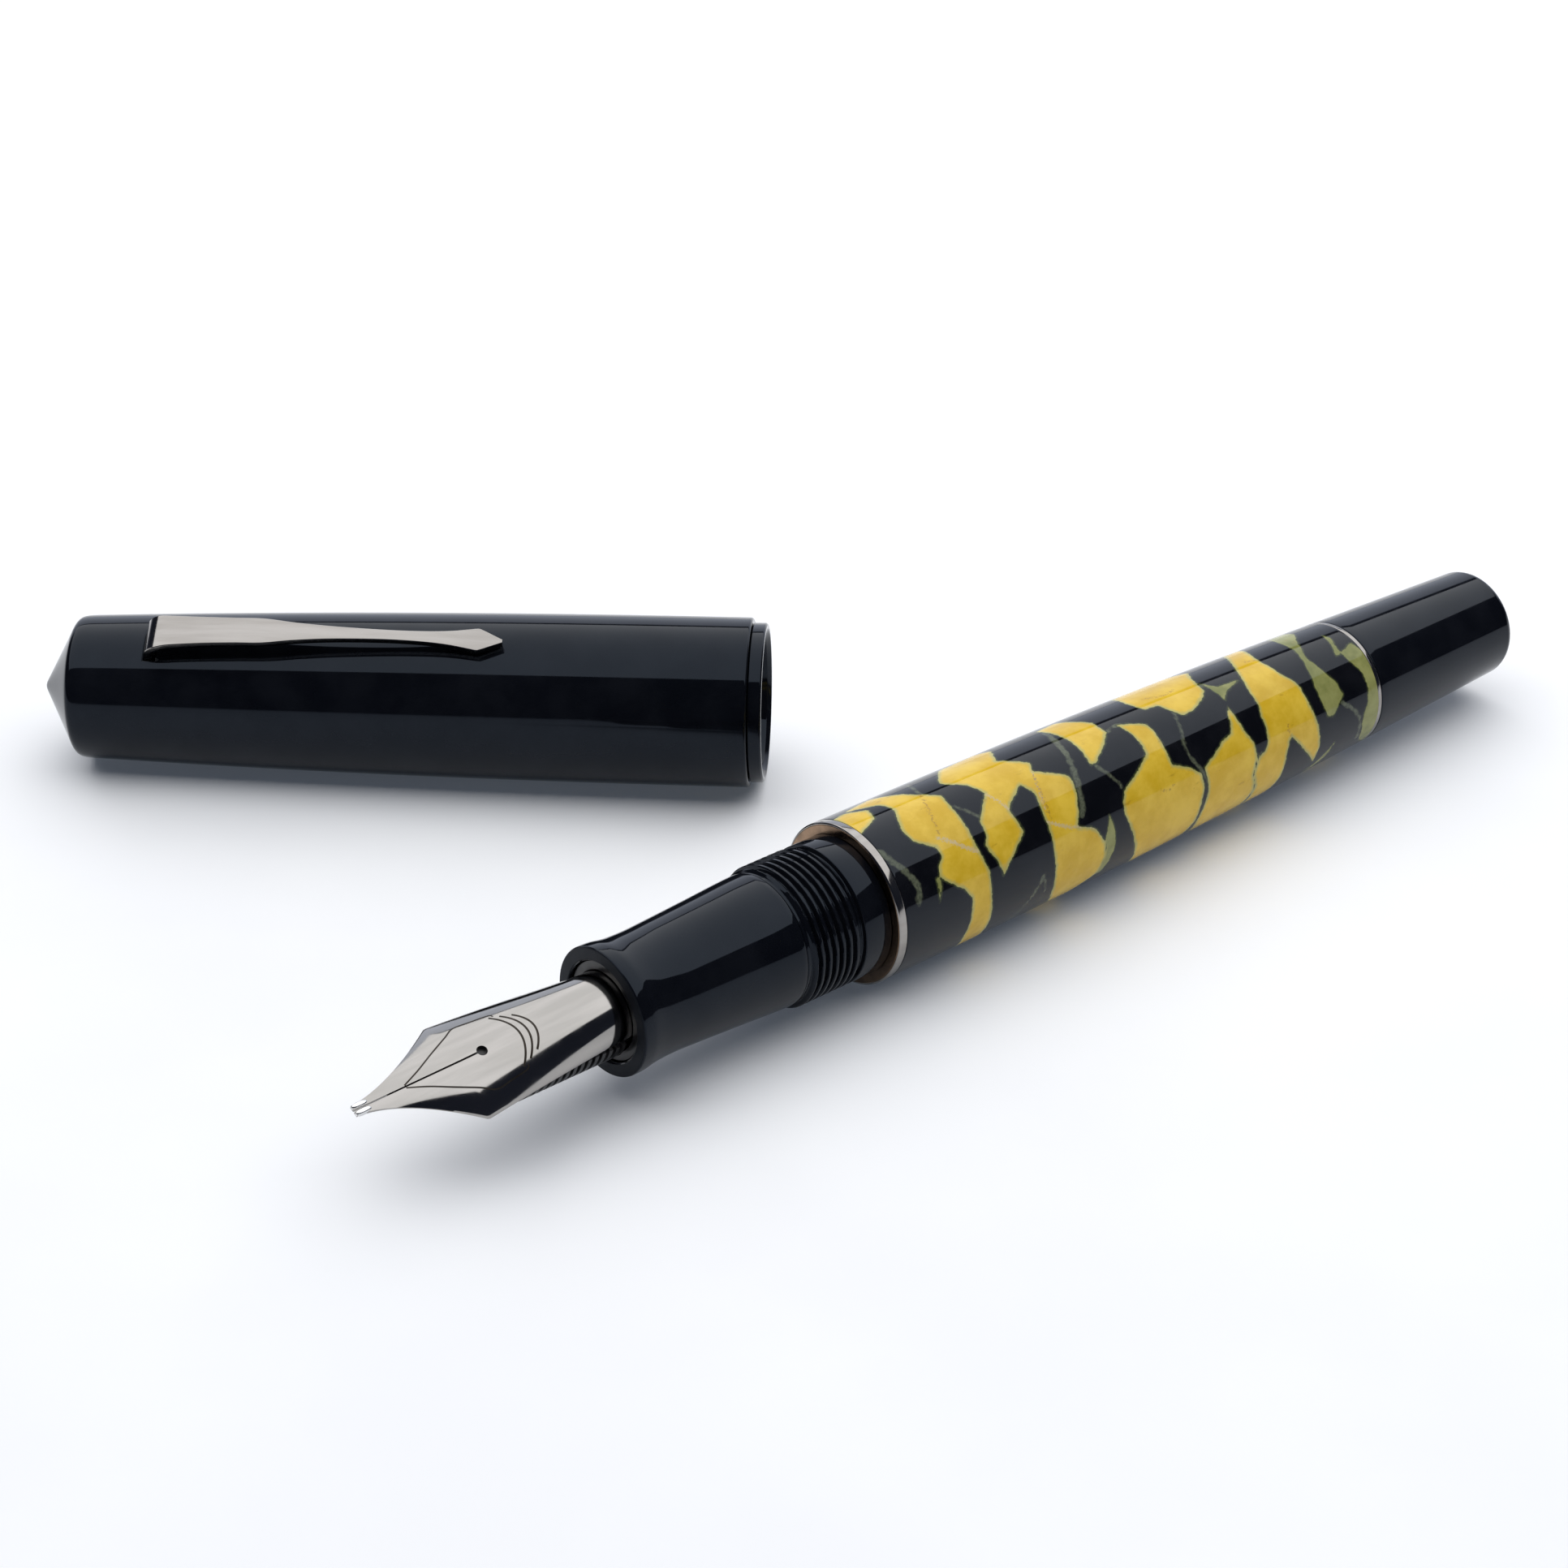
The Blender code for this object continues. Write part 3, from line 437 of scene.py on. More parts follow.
# Shards in the barrel, each an outline of (millimetres from the front ring, degrees round the barrel).
# 90 degrees is the top. The rest of the marbling uses the same measures.
SHARDS = [
    [(0, 72), (1.5, 69), (3.0, 80), (2.4, 92), (1.0, 97), (-0.5, 102)],
    [(1.5, 68), (5, 60), (7, 78), (7.8, 86), (9.3, 97), (9.1, 110), (9.1, 123), (9.0, 141), (9.6, 161),
     (9.6, 179), (10, 203), (10, 225), (7.5, 226), (7.2, 207), (7.3, 194), (7.3, 173), (6.5, 165),
     (4.9, 155), (4.3, 151), (4.6, 144), (5.3, 138), (5.2, 131), (4.3, 127), (3.5, 121), (3.3, 112),
     (3.8, 103), (4.6, 91), (4.3, 80), (3, 74)],
    [(13, 62), (17.5, 56), (18.5, 68), (17, 86), (19.2, 101), (18.7, 109), (21.4, 122), (21.6, 127),
     (21.2, 138), (20.6, 150), (20.1, 158), (22.1, 165), (23.3, 180), (23.5, 193), (23.2, 209),
     (20.5, 226), (18.5, 228), (17.5, 208), (17.2, 190), (17.0, 173), (17.0, 158), (16.9, 140),
     (17.2, 124), (16.5, 115), (15, 122), (13.9, 128), (14.2, 141), (14.3, 146), (12.9, 155), (11, 168),
     (10.7, 158), (9.9, 144), (10.4, 138), (10.6, 127), (12.0, 116), (12.9, 110), (12.2, 98), (10.5, 86),
     (11, 79)],
    [(24.0, 66), (26.5, 62), (28.3, 88), (28.3, 103), (27, 112), (25, 122), (24.2, 123), (24.5, 105),
     (24.4, 90)],
    [(29.8, 100), (31, 103), (32.5, 110), (32.6, 118), (32.5, 135), (32.5, 146), (34.5, 154),
     (35.6, 162), (35.8, 173), (35.5, 187), (35.4, 201), (34.8, 222), (31, 230), (28.3, 226), (27.9, 210),
     (27.3, 196), (26.5, 180), (25.7, 165), (25.8, 156), (26.2, 149), (28, 142), (30.3, 131), (30.4, 121),
     (30.2, 111)],
    [(33.8, 60), (33.3, 80), (33.4, 90), (33.8, 97), (35.2, 98), (35.9, 108), (36.5, 115), (37.9, 115),
     (39.7, 109), (40.8, 102), (41, 93), (41.5, 82), (42.5, 70), (41, 54), (37, 50)],
    [(41.6, 123), (41.7, 134), (42, 147), (42.7, 158), (42.8, 168), (42.3, 183), (43.0, 200), (42.5, 228),
     (36, 230), (35.7, 203), (36.0, 187), (36.3, 178), (36.2, 168), (36.1, 158), (37.4, 153), (39.1, 145),
     (40.3, 143), (40.8, 135), (41.0, 128)],
    [(48.2, 58), (46.8, 80), (45.9, 93), (45.2, 108), (44.8, 119), (44.8, 130), (44.5, 141), (44.5, 150),
     (44.4, 161), (43.9, 167), (42.9, 171), (42.4, 183), (43.1, 200), (43, 230), (46, 228), (46.7, 204),
     (46.8, 180), (47.2, 169), (47.5, 166), (48.7, 178), (50.5, 196), (51.4, 206), (51.5, 187), (51.2, 167),
     (50.7, 152), (50.5, 138), (50.4, 128), (49.4, 114), (49, 99), (49, 89), (49.8, 72), (50.4, 56)],
]
GREEN_SHARDS = [
    [(23.9, 160), (24.3, 170), (24.5, 185), (24.2, 200), (23.6, 212), (23.0, 205), (23.4, 190), (23.2, 175)],
    [(41.2, 93), (42.3, 103), (44.8, 105), (42.6, 111), (41.8, 117), (41.6, 106)],
    [(53.8, 60), (56, 58), (56, 74), (54.4, 92), (53.4, 110), (54.0, 127), (54.8, 140), (55.1, 152),
     (53.3, 166), (52.5, 164), (52.2, 152), (52.1, 138), (52.4, 124), (52.8, 112), (53.2, 98), (53.2, 80)],
    [(57.3, 118), (59.3, 113), (59.9, 126), (59.9, 222), (58.4, 212), (58, 206), (57.5, 185), (57.6, 178),
     (58.2, 168), (58.5, 156), (58.4, 144), (58.1, 136), (57.5, 127)],
    [(57.6, 93), (57.9, 99), (57.5, 110), (57.3, 119), (56.6, 119), (57.1, 108)],
    [(53.9, 192), (53.3, 208), (51.6, 226), (51.3, 220), (52.6, 205)],
    [(3.9, 150), (4.4, 150), (4.1, 160), (3.7, 167)],
]
# Veins, cracks and stains: half width in millimetres, then points along the line
VEINS = [
    (0.32, [(0.0, 119), (0.7, 130), (1.5, 142), (1.9, 150), (1.6, 160)]),
    (0.28, [(24, 76), (23.3, 95), (22.8, 110), (22.1, 125), (21.5, 140), (21.0, 152)]),
    (0.20, [(8.8, 68), (8.4, 78), (8.0, 87)]),
    (0.16, [(9.4, 110), (10.2, 118), (11.0, 126)]),
    (0.14, [(12.8, 224), (14.0, 208), (15.3, 190), (15.7, 182)]),
    (0.12, [(15.7, 182), (16.2, 194), (16.2, 206)]),
    (0.14, [(24.6, 124), (25.4, 133), (26.2, 146)]),
    (0.16, [(28.3, 103), (29.2, 100), (30.2, 101)]),
    (0.17, [(36, 108), (35.4, 123), (34.7, 138), (34.8, 147), (35.4, 156), (36.3, 171)]),
    (0.22, [(40.6, 97), (41.4, 96), (42.0, 104)]),
    (0.20, [(54.7, 158), (56, 168), (57.1, 182), (57.4, 202)]),
    (0.12, [(43.4, 168), (42.9, 184), (42.6, 202), (43, 220)]),
]
CRACKS = [
    (0.20, [(5.8, 126), (6.6, 130), (7.6, 137), (8.9, 145)]),
    (0.14, [(12.9, 111), (13.5, 120), (13.9, 128)]),
    (0.16, [(16.9, 146), (18.0, 151), (19.5, 157), (21.0, 160), (22.6, 167)]),
    (0.12, [(18.6, 108), (17.9, 122), (17.4, 138)]),
]
STAINS = [
    (0.14, [(8, 87), (7.3, 100), (6.7, 112), (6.2, 124)]),
    (0.14, [(18.3, 112), (17.8, 128), (17.5, 145)]),
    (0.10, [(47.5, 166), (47.2, 160), (47.4, 152)]),
    (0.10, [(35, 84), (37.2, 90), (38.6, 87)]),
    (0.10, [(47.6, 88), (48.8, 92), (49.2, 97)]),
    (0.10, [(30.5, 160), (31.2, 163), (32.0, 160)]),
]


HIDDEN_SHARD_CENTRES = [
    (5, 268), (13, 300), (20, 258), (24, 312), (31, 282), (38, 318), (44, 268), (50, 302), (57, 270),
    (8, 338), (29, 352), (47, 350), (18, 350), (55, 338),
]
FAR_OUTSIDE = -9.0


def on_surface(points):
    """Turns (along, degrees) into millimetres along and round the barrel."""
    return np.array(
        [(s, math.radians(a) * barrel_radius(max(0, min(60, s)))) for s, a in points], float)


def line_distance(points, line, closed):
    best = np.full(len(points), 1e9)
    ends = np.roll(line, -1, axis=0)
    count = len(line) if closed else len(line) - 1
    for a, b in zip(line[:count], ends[:count]):
        run = b - a
        part = np.clip(((points - a) @ run) / max(run @ run, 1e-9), 0, 1)
        best = np.minimum(best, np.linalg.norm(points - (a + part[:, None] * run), axis=1))
    return best


def polygon_depth(points, outline):
    """Distance to the outline, positive inside."""
    inside = np.zeros(len(points), bool)
    for a, b in zip(outline, np.roll(outline, -1, axis=0)):
        crosses = (a[1] > points[:, 1]) != (b[1] > points[:, 1])
        with np.errstate(divide="ignore", invalid="ignore"):
            at = a[0] + (points[:, 1] - a[1]) / (b[1] - a[1]) * (b[0] - a[0])
        inside ^= crosses & (points[:, 0] < at)
    distance = line_distance(points, outline, True)
    return np.where(inside, distance, -distance)


def hidden_shards():
    """Shards of the same kind on the side that faces away, from a fixed seed."""
    chance = random.Random(7)
    made = []
    for centre in HIDDEN_SHARD_CENTRES:
        length, width = chance.uniform(2.2, 4.2), chance.uniform(16, 30)
        lean = chance.uniform(-0.06, 0.06)
        corners = []
        count = chance.randint(6, 8)
        for i in range(count):
            turn = math.tau * i / count + chance.uniform(-0.25, 0.25)
            reach = chance.uniform(0.6, 1.15)
            angle = centre[1] + width * reach * math.sin(turn)
            corners.append((centre[0] + length * reach * math.cos(turn) + lean * (angle - centre[1]), angle))
        made.append(corners)
    return made


def paint_marbling(piece):
    mesh = piece.data
    co = np.empty(len(mesh.vertices) * 3, np.float32)
    mesh.vertices.foreach_get("co", co)
    co = co.reshape(-1, 3).astype(float) / MM
    radius = np.hypot(co[:, 1], co[:, 2])
    degrees = np.degrees(np.arctan2(co[:, 2], co[:, 1])) % 360
    surface = np.stack([co[:, 0], np.radians(degrees) * radius], 1)
    shift = np.array([0, math.tau]) * radius.mean()

    def depth_of(outlines):
        best = np.full(len(surface), FAR_OUTSIDE)
        for outline in outlines:
            line = on_surface(outline)
            best = np.maximum(best, polygon_depth(surface, line))
            best = np.maximum(best, polygon_depth(surface, line - shift))
            best = np.maximum(best, polygon_depth(surface, line + shift))
        return best

    def vein_depth(lines):
        best = np.full(len(surface), FAR_OUTSIDE)
        for half_width, line in lines:
            curve = on_surface([tuple(p) for p in smooth_line(line, 2.0)])
            best = np.maximum(best, half_width - line_distance(surface, curve, False))
        return best

    yellow = depth_of(SHARDS + hidden_shards())
    green = depth_of(GREEN_SHARDS)
    values = {
        "shard_depth": np.maximum(yellow, green),
        "shard_green": np.clip((green - yellow) * 4 + 0.5, 0, 1),
        "vein_depth": vein_depth(VEINS),
        "crack_depth": vein_depth(CRACKS),
        "stain_depth": vein_depth(STAINS),
    }
    for name, value in values.items():
        attribute = mesh.attributes.new(name, "FLOAT", "POINT")
        attribute.data.foreach_set("value", value.astype(np.float32))


# ---- Barrel unit ---------------------------------------------------------------------------------

def make_barrel_unit():
    outside = [(s, barrel_radius(s)) for s in steps(0.02, BARREL_LENGTH - 0.02, 220)]
    barrel = turned("barrel_tube", outside + [
        (BARREL_LENGTH - 0.02, 5.0), (12.05, 5.0), (12.05, 5.6), (0.02, 5.6),
    ], PEN, "pen_barrel", MARBLED, ["barrel"], edge=0.04, sides=220)
    paint_marbling(barrel)

    thread_start, thread_end = -9.35, -3.75
    wall = [(s, 5.78) for s in steps(thread_start, thread_end, 150)]
    turned("thread_sleeve", [(-9.58, 4.6), (-9.58, 5.78)] + wall + [
        (-3.66, 5.80), (-3.6, 6.19), (-0.82, 6.19), (-0.82, 5.8), (0.0, 5.8), (0.0, 5.55), (12.0, 5.55),
        (12.0, 4.6),
    ], PEN, "pen_barrel", BLACK, ["barrel_thread_sleeve"], edge=0.10, sides=THREAD_SIDES,
        shape=thread(thread_start, thread_end, 0.75, 0.42, 5.7, 5.9))
    turned("front_ring_band", [
        (-0.62, 6.9), (-0.8, 7.02), (-0.8, 7.08), (-0.7, 7.2), (0.0, 7.2), (0.0, 6.9),
    ], PEN, "pen_barrel", GUNMETAL, ["front_trim_ring"], edge=0.09)
    turned("front_ring_face", [
        (-0.70, 5.86), (-0.80, 5.92), (-0.80, 7.0), (-0.6, 7.05), (-0.1, 7.0), (-0.1, 5.86),
    ], PEN, "pen_barrel", BRONZE, edge=0.05)
    turned("rear_ring_band", [
        (59.75, 4.75), (59.75, 5.90), (59.8, 5.945), (60.15, 5.93), (60.2, 5.88), (60.2, 4.75),
    ], PEN, "pen_barrel", GUNMETAL, ["rear_trim_ring"], edge=0.05)
    wall = [(s, 4.05) for s in steps(60.6, 64.6, 110)]
    turned("rear_bushing_tube", [
        (47.5, 3.95), (47.5, 4.95), (59.7, 4.95), (59.7, 4.7), (60.25, 4.7), (60.25, 4.05),
    ] + wall + [(65.0, 4.05), (65.0, 3.75), (50.5, 3.75), (50.5, 3.95)],
        PEN, "pen_barrel", BLACK, ["rear_bushing"], edge=0.1, sides=THREAD_SIDES,
        shape=thread(60.6, 64.6, 0.7, 0.35, 4.0, 4.1))

    start = 60.25
    dome = smooth_line([(79.2, 5.16), (79.55, 5.04), (79.78, 4.80), (79.88, 4.35), (79.9, 3.9)], 0.08)
    side = [(s, 5.92 - (s - start) * 0.76 / 18.95) for s in steps(start + 0.08, 79.1, 20)]
    turned("blind_cap_shell", [
        (71.6, 0.0), (71.6, 3.95), (65.6, 3.95), (65.6, 4.5), (60.85, 4.5), (60.55, 4.8), (start, 4.8),
        (start, 5.86),
    ] + side + [tuple(p) for p in dome] + [(79.9, 0.0)],
        PEN, "blind_cap", BLACK, ["blind_cap"], edge=0.06)


# ---- Grip section, nib and feed ------------------------------------------------------------------

def make_grip():
    profile = smooth_line([
        (-25.4, 5.57), (-25.05, 5.54), (-23.75, 5.35), (-21.75, 5.28), (-19.35, 5.37), (-14.85, 5.60),
        (-11.5, 5.79), (-9.75, 5.855),
    ], 0.4)
    lip = [(-26.35, 4.5), (-26.35, 5.42), (-26.31, 5.51), (-26.22, 5.57), (-26.0, 5.58), (-25.7, 5.58)]
    turned("section_shell", lip + [tuple(p) for p in profile] + [
        (-9.63, 5.82), (-9.63, 4.5), (3.2, 4.5), (3.2, 3.6), (-8.5, 3.6), (-8.5, 1.75), (-12.5, 1.75),
        (-12.5, 4.35), (-26.2, 4.35),
    ], PEN, "grip", SECTION, ["grip_section"], edge=0.03)


def blend(start, end, part):
    return start + (end - start) * part


def nib_shape(along):
    """Half width in plan, height of the centre line and drop of the edges."""
    if along > NIB_EXPOSED:
        return NIB_AT_SECTION
    width, height, drop = NIB_AT_SHOULDER
    if along > NIB_SHOULDER:
        part = (NIB_EXPOSED - along) / (NIB_EXPOSED - NIB_SHOULDER)
        root_width, root_height, root_drop = NIB_AT_SECTION
        return (
            blend(root_width, width, part), blend(root_height, height, part),
            blend(drop, root_drop, (1 - part) ** 2),
        )
    part = min(1.0, (NIB_SHOULDER - along) / (NIB_SHOULDER - NIB_TIP))
    tip_width, tip_height, tip_drop = NIB_AT_TIP
    return (
        blend(tip_width, width, (1 - part) ** NIB_TINE_POWER), blend(height, tip_height, part),
        blend(tip_drop, drop, (1 - part) ** NIB_DROP_POWER),
    )


def nib_point(along, offset, inset=0.0):
    """Point on the nib at a distance to one side of the slit, inset from its outer face."""
    width, height, drop = nib_shape(along)
    bend = (width ** 2 + drop ** 2) / (2 * drop)
    angle = math.atan2(offset, math.sqrt(max(bend ** 2 - offset ** 2, 1e-6)))
    return (along, (bend - inset) * math.sin(angle), height - bend + (bend - inset) * math.cos(angle))


def make_nib():
    """Two half plates that meet behind the breather hole and part at the slit in front of it."""
    hole = [NIB_HOLE + NIB_HOLE_RADIUS * math.cos(math.radians(a)) for a in range(0, 181, 15)]
    hole_back = NIB_HOLE + NIB_HOLE_RADIUS
    stations = steps(NIB_BASE, hole[0] + 0.02, 40) + hole + steps(hole[-1] - 0.02, NIB_TIP - 0.05, 44)
    count = 26
    vertices, faces = [], []
    for side in (1, -1):
        base = len(vertices)
        ring = 0
        for along in stations:
            width = nib_shape(along)[0]
            if along >= hole_back:
                inner = 0.0
            elif along > NIB_HOLE - NIB_HOLE_RADIUS * 0.985:
                inner = math.sqrt(max(NIB_HOLE_RADIUS ** 2 - (along - NIB_HOLE) ** 2, 0.0))
            else:
                part = (NIB_HOLE - along) / (NIB_HOLE - NIB_TIP)
                inner = blend(*NIB_SLIT, part)
            edge = 0.05 if along > -50 else 0.04
            row = []
            for i in range(count + 1):
                t = i / count
                row.append(nib_point(along, side * blend(inner, width - edge, t)))
            row.append(nib_point(along, side * width, edge))
            row.append(nib_point(along, side * width, NIB_THICKNESS - edge))
            for i in range(count + 1):
                t = 1 - i / count
                row.append(nib_point(along, side * blend(inner, width - edge, t), NIB_THICKNESS))
            ring = len(row)
            vertices += row
        rows = len(stations)
        for i in range(rows - 1):
            for j in range(ring):
                m = (j + 1) % ring
                a, b = base + i * ring, base + (i + 1) * ring
                if j == ring - 1 and stations[i + 1] >= hole_back - 1e-6:
                    continue
                faces.append((a + j, b + j, b + m, a + m))
        faces.append([base + j for j in range(ring)])
        faces.append([base + (rows - 1) * ring + j for j in range(ring)])
    place("nib_plate", vertices, faces, NIB, "nib_unit", [NIB_METAL], 40, ["nib"])


def signed_power(value, power):
    return math.copysign(abs(value) ** power, value)


def make_tipping():
    """Two hard metal pellets under and round the tip, one on each tine."""
    vertices, faces = [], []
    rings, sides = 14, 20
    for side in (1, -1):
        base = len(vertices)
        for i in range(rings + 1):
            lat = math.pi * i / rings
            for j in range(sides):
                turn = math.tau * j / sides
                x = signed_power(math.cos(lat), 0.8) * 0.72
                y = math.sin(lat) ** 0.7 * signed_power(math.cos(turn), 0.7) * 0.25
                z = math.sin(lat) ** 0.7 * signed_power(math.sin(turn), 0.8) * 0.27
                vertices.append((NIB_TIP + 0.62 + x, side * (0.31 + y), 2.05 + z))
        faces += skin(rings + 1, sides, base)
    place("nib_tipping", vertices, faces, NIB, "nib_unit", [TIPPING], 60)


def engraved_strip(line, width, vertices, faces):
    """Adds a flat strip just over the nib's face along a line of (along, offset)."""
    points = smooth_line(line, 0.12)
    base = len(vertices)
    for i, point in enumerate(points):
        ahead = points[min(i + 1, len(points) - 1)] - points[max(i - 1, 0)]
        ahead = ahead / max(np.linalg.norm(ahead), 1e-9)
        side = np.array([-ahead[1], ahead[0]]) * width / 2
        for shift in (side, -side):
            vertices.append(nib_point(point[0] + shift[0], point[1] + shift[1], -0.006))
    for i in range(len(points) - 1):
        a = base + 2 * i
        faces.append((a, a + 1, a + 3, a + 2))


def make_engraving():
    """Plain border line and three nested arcs behind the hole, in place of any mark."""
    vertices, faces = [], []
    border = [(-46.1, 0.12), (-44.4, 0.8), (-42.6, 1.65), (-40.6, 2.55), (-39.4, 3.1), (-37.8, 2.95),
              (-36.3, 2.75), (-36.1, 2.45)]
    for side in (1, -1):
        engraved_strip([(x, side * w) for x, w in border], 0.13, vertices, faces)
    for start, reach, bow in ((-35.4, 2.5, 1.1), (-34.7, 2.2, 1.0), (-34.0, 1.8, 0.85)):
        arc = [(start + bow * (1 - (w / reach) ** 2) - bow, w) for w in steps(-reach, reach, 12)]
        engraved_strip(arc, 0.18, vertices, faces)
    place("nib_engraving", vertices, faces, NIB, "nib_unit", [ENGRAVED], 60)


def make_feed():
    """Finned body that follows the nib's underside. Its comb stands out under the nib's edges."""
    def ring(along, half_width, depth, comb_radius=None):
        width, height, drop = nib_shape(along)
        bend = (width ** 2 + drop ** 2) / (2 * drop)
        nib_reach = math.atan2(width, bend - drop)
        gap = NIB_THICKNESS + FEED_GAP
        reach = math.asin(min(half_width / (bend - gap), math.sin(min(nib_reach, 1.4))))
        top = [
            (along, (bend - gap) * math.sin(a), height - bend + (bend - gap) * math.cos(a))
            for a in steps(-reach, reach, 12)
        ]
        _, side, edge = top[-1]
        start = edge - 0.2
        if comb_radius:
            nib_edge = height - drop - NIB_THICKNESS * math.cos(nib_reach)
            start = min(start, nib_edge - 0.12)
            rise = math.asin(start / comb_radius)
            under = [
                (along, comb_radius * math.cos(a), -comb_radius * math.sin(a))
                for a in steps(-rise, math.pi + rise, 28)
            ]
        else:
            under = [
                (along, side * math.cos(a), start - (start + depth) * math.sin(a))
                for a in steps(0, math.pi, 28)
            ]
        return top + [(along, side, edge - 0.1)] + under + [(along, -side, edge - 0.1)]

    def comb(along, radius):
        return ring(along, 3.05, 3.3, radius)

    rows = [
        ring(-14.0, 3.05, 3.3), ring(-26.5, 3.05, 3.3), comb(-26.62, 3.6), comb(-26.68, COMB_RADIUS),
    ]
    along = -26.95
    while along > -36.2:
        rows += [
            comb(along, COMB_RADIUS), ring(along - FIN_EDGE, 2.7, 3.3, COMB_SLOT_RADIUS),
            ring(along - 0.30, 2.7, 3.3, COMB_SLOT_RADIUS), comb(along - FIN_THICKNESS, COMB_RADIUS),
        ]
        along -= FIN_PITCH
    rows += [
        comb(-36.5, 3.66), ring(-38.2, 2.8, 2.4), ring(-40.5, 2.6, 1.2), ring(-43.5, 1.7, -0.1),
        ring(-45.5, 1.1, -0.85), ring(-47.2, 0.55, -1.5), ring(-47.4, 0.45, -1.58),
    ]
    vertices = [p for row in rows for p in row]
    faces = skin(len(rows), len(rows[0]), ends=True)
    place("feed_comb", vertices, faces, NIB, "nib_unit", [SATIN], 30, ["feed"])


def make_nib_collar():
    wall = [(s, 4.08) for s in steps(-24.0, -14.0, 160)]
    turned("nib_collar_tube", [(-26.0, 3.48), (-26.0, 4.28), (-24.3, 4.28), (-24.2, 4.08)] + wall + [
        (-13.6, 4.08), (-12.6, 4.0), (-12.6, 1.6), (-5.0, 1.6), (-5.0, 0.8), (-13.6, 0.8), (-13.6, 3.48),
    ], PEN, "nib_unit", SATIN, ["nib_collar"], edge=0.1, sides=120,
        shape=thread(-24.0, -14.0, 0.6, 0.22, 4.05, 4.1))


# ---- Converter -----------------------------------------------------------------------------------

def make_converter():
    turned("converter_mouth_piece", [
        (-8.3, 1.7), (-8.3, 3.4), (-8.0, 3.5), (3.4, 3.5), (3.4, 3.85), (8.0, 3.85), (8.0, 3.35),
        (3.95, 3.35), (3.95, 1.7),
    ], PEN, "grip", SATIN, ["converter_mouth"], edge=0.12, sides=96)
    turned("ink_tube", [(4.0, 2.75), (4.0, 3.3), (46.0, 3.3), (46.0, 2.75)],
           PEN, "grip", CLEAR, ["reservoir_tube"], edge=0.08, sides=96)
    turned("converter_metal_band", [
        (40.0, 3.35), (40.0, 3.7), (40.15, 3.85), (41.0, 3.85), (41.1, 3.75), (41.4, 3.75), (41.5, 3.85),
        (49.45, 3.85), (49.6, 3.7), (49.6, 1.8), (48.0, 1.8), (48.0, 3.35),
    ], PEN, "grip", GUNMETAL, ["converter_band"], edge=0.08, sides=96)
    turned("piston_plunger", [
        (9.0, 0.0), (9.0, 2.2), (9.15, 2.45), (9.5, 2.7), (9.9, 2.68), (10.1, 2.45), (11.9, 2.45),
        (12.1, 2.68), (12.5, 2.7), (12.85, 2.5), (13.0, 2.3), (13.0, 1.0), (11.0, 1.0), (11.0, 0.0),
    ], PEN, "piston", RUBBER, ["piston_seal"], edge=0.1, sides=96)
    wall = [(s, 0.82) for s in steps(14.5, 41.2, 300)]
    turned("piston_screw_rod", [(11.05, 0.0), (11.05, 0.95), (14.0, 0.95), (14.2, 0.82)] + wall + [
        (41.9, 0.8), (42.0, 0.7), (42.0, 0.0),
    ], PEN, "piston", SATIN, ["piston_rod"], edge=0.05, sides=48,
        shape=thread(14.5, 41.2, 3.0, 0.12, 0.8, 0.83))
    turned("spindle_tube", [
        (39.0, 1.05), (39.0, 1.65), (46.3, 1.65), (46.3, 2.9), (47.7, 2.9), (47.7, 1.65), (57.0, 1.65),
        (57.0, 1.05),
    ], PEN, "knob", SATIN, ["drive_spindle"], edge=0.1, sides=72)

    def ribs(along, radius, angle):
        ribbed = (radius > 3.5) & (along > 51.0) & (along < 66.8)
        return radius - np.where(ribbed, 0.16 * (0.5 + 0.5 * np.cos(angle * 36)) ** 2, 0)

    wall = [(s, 3.54) for s in steps(51.3, 66.6, 12)]
    turned("turning_knob", [
        (67.4, 0.0), (67.4, 1.05), (57.3, 1.05), (57.3, 1.75), (49.9, 1.75), (49.9, 3.35), (50.1, 3.54),
        (50.9, 3.54),
    ] + wall + [(67.0, 3.54), (68.1, 3.52), (68.45, 3.35), (68.6, 3.05), (68.6, 0.0)],
        PEN, "knob", SATIN, ["converter_knob"], edge=0.1, sides=288, shape=ribs)


# ---- Cap and clip --------------------------------------------------------------------------------

def cut_clip_slot(shell):
    """Cuts the slot that the clip's leg goes through."""
    slot = bmesh.new()
    bmesh.ops.create_cube(slot, size=1.0)
    size = Matrix.Diagonal([side * MM for side in CLIP_SLOT] + [1.0])
    bmesh.ops.transform(slot, matrix=size, verts=slot.verts)
    mesh = bpy.data.meshes.new("slot_cutter")
    slot.to_mesh(mesh)
    slot.free()
    cutter = bpy.data.objects.new("slot_cutter", mesh)
    bpy.context.scene.collection.objects.link(cutter)
    cutter.matrix_world = CLIP
    modifier = shell.modifiers.new("slot", "BOOLEAN")
    modifier.operation = "DIFFERENCE"
    modifier.solver = "EXACT"
    modifier.object = cutter
    bpy.context.view_layer.update()
    graph = bpy.context.evaluated_depsgraph_get()
    cut_mesh = bpy.data.meshes.new_from_object(shell.evaluated_get(graph))
    shell.modifiers.clear()
    shell.data = cut_mesh
    bpy.data.objects.remove(cutter)


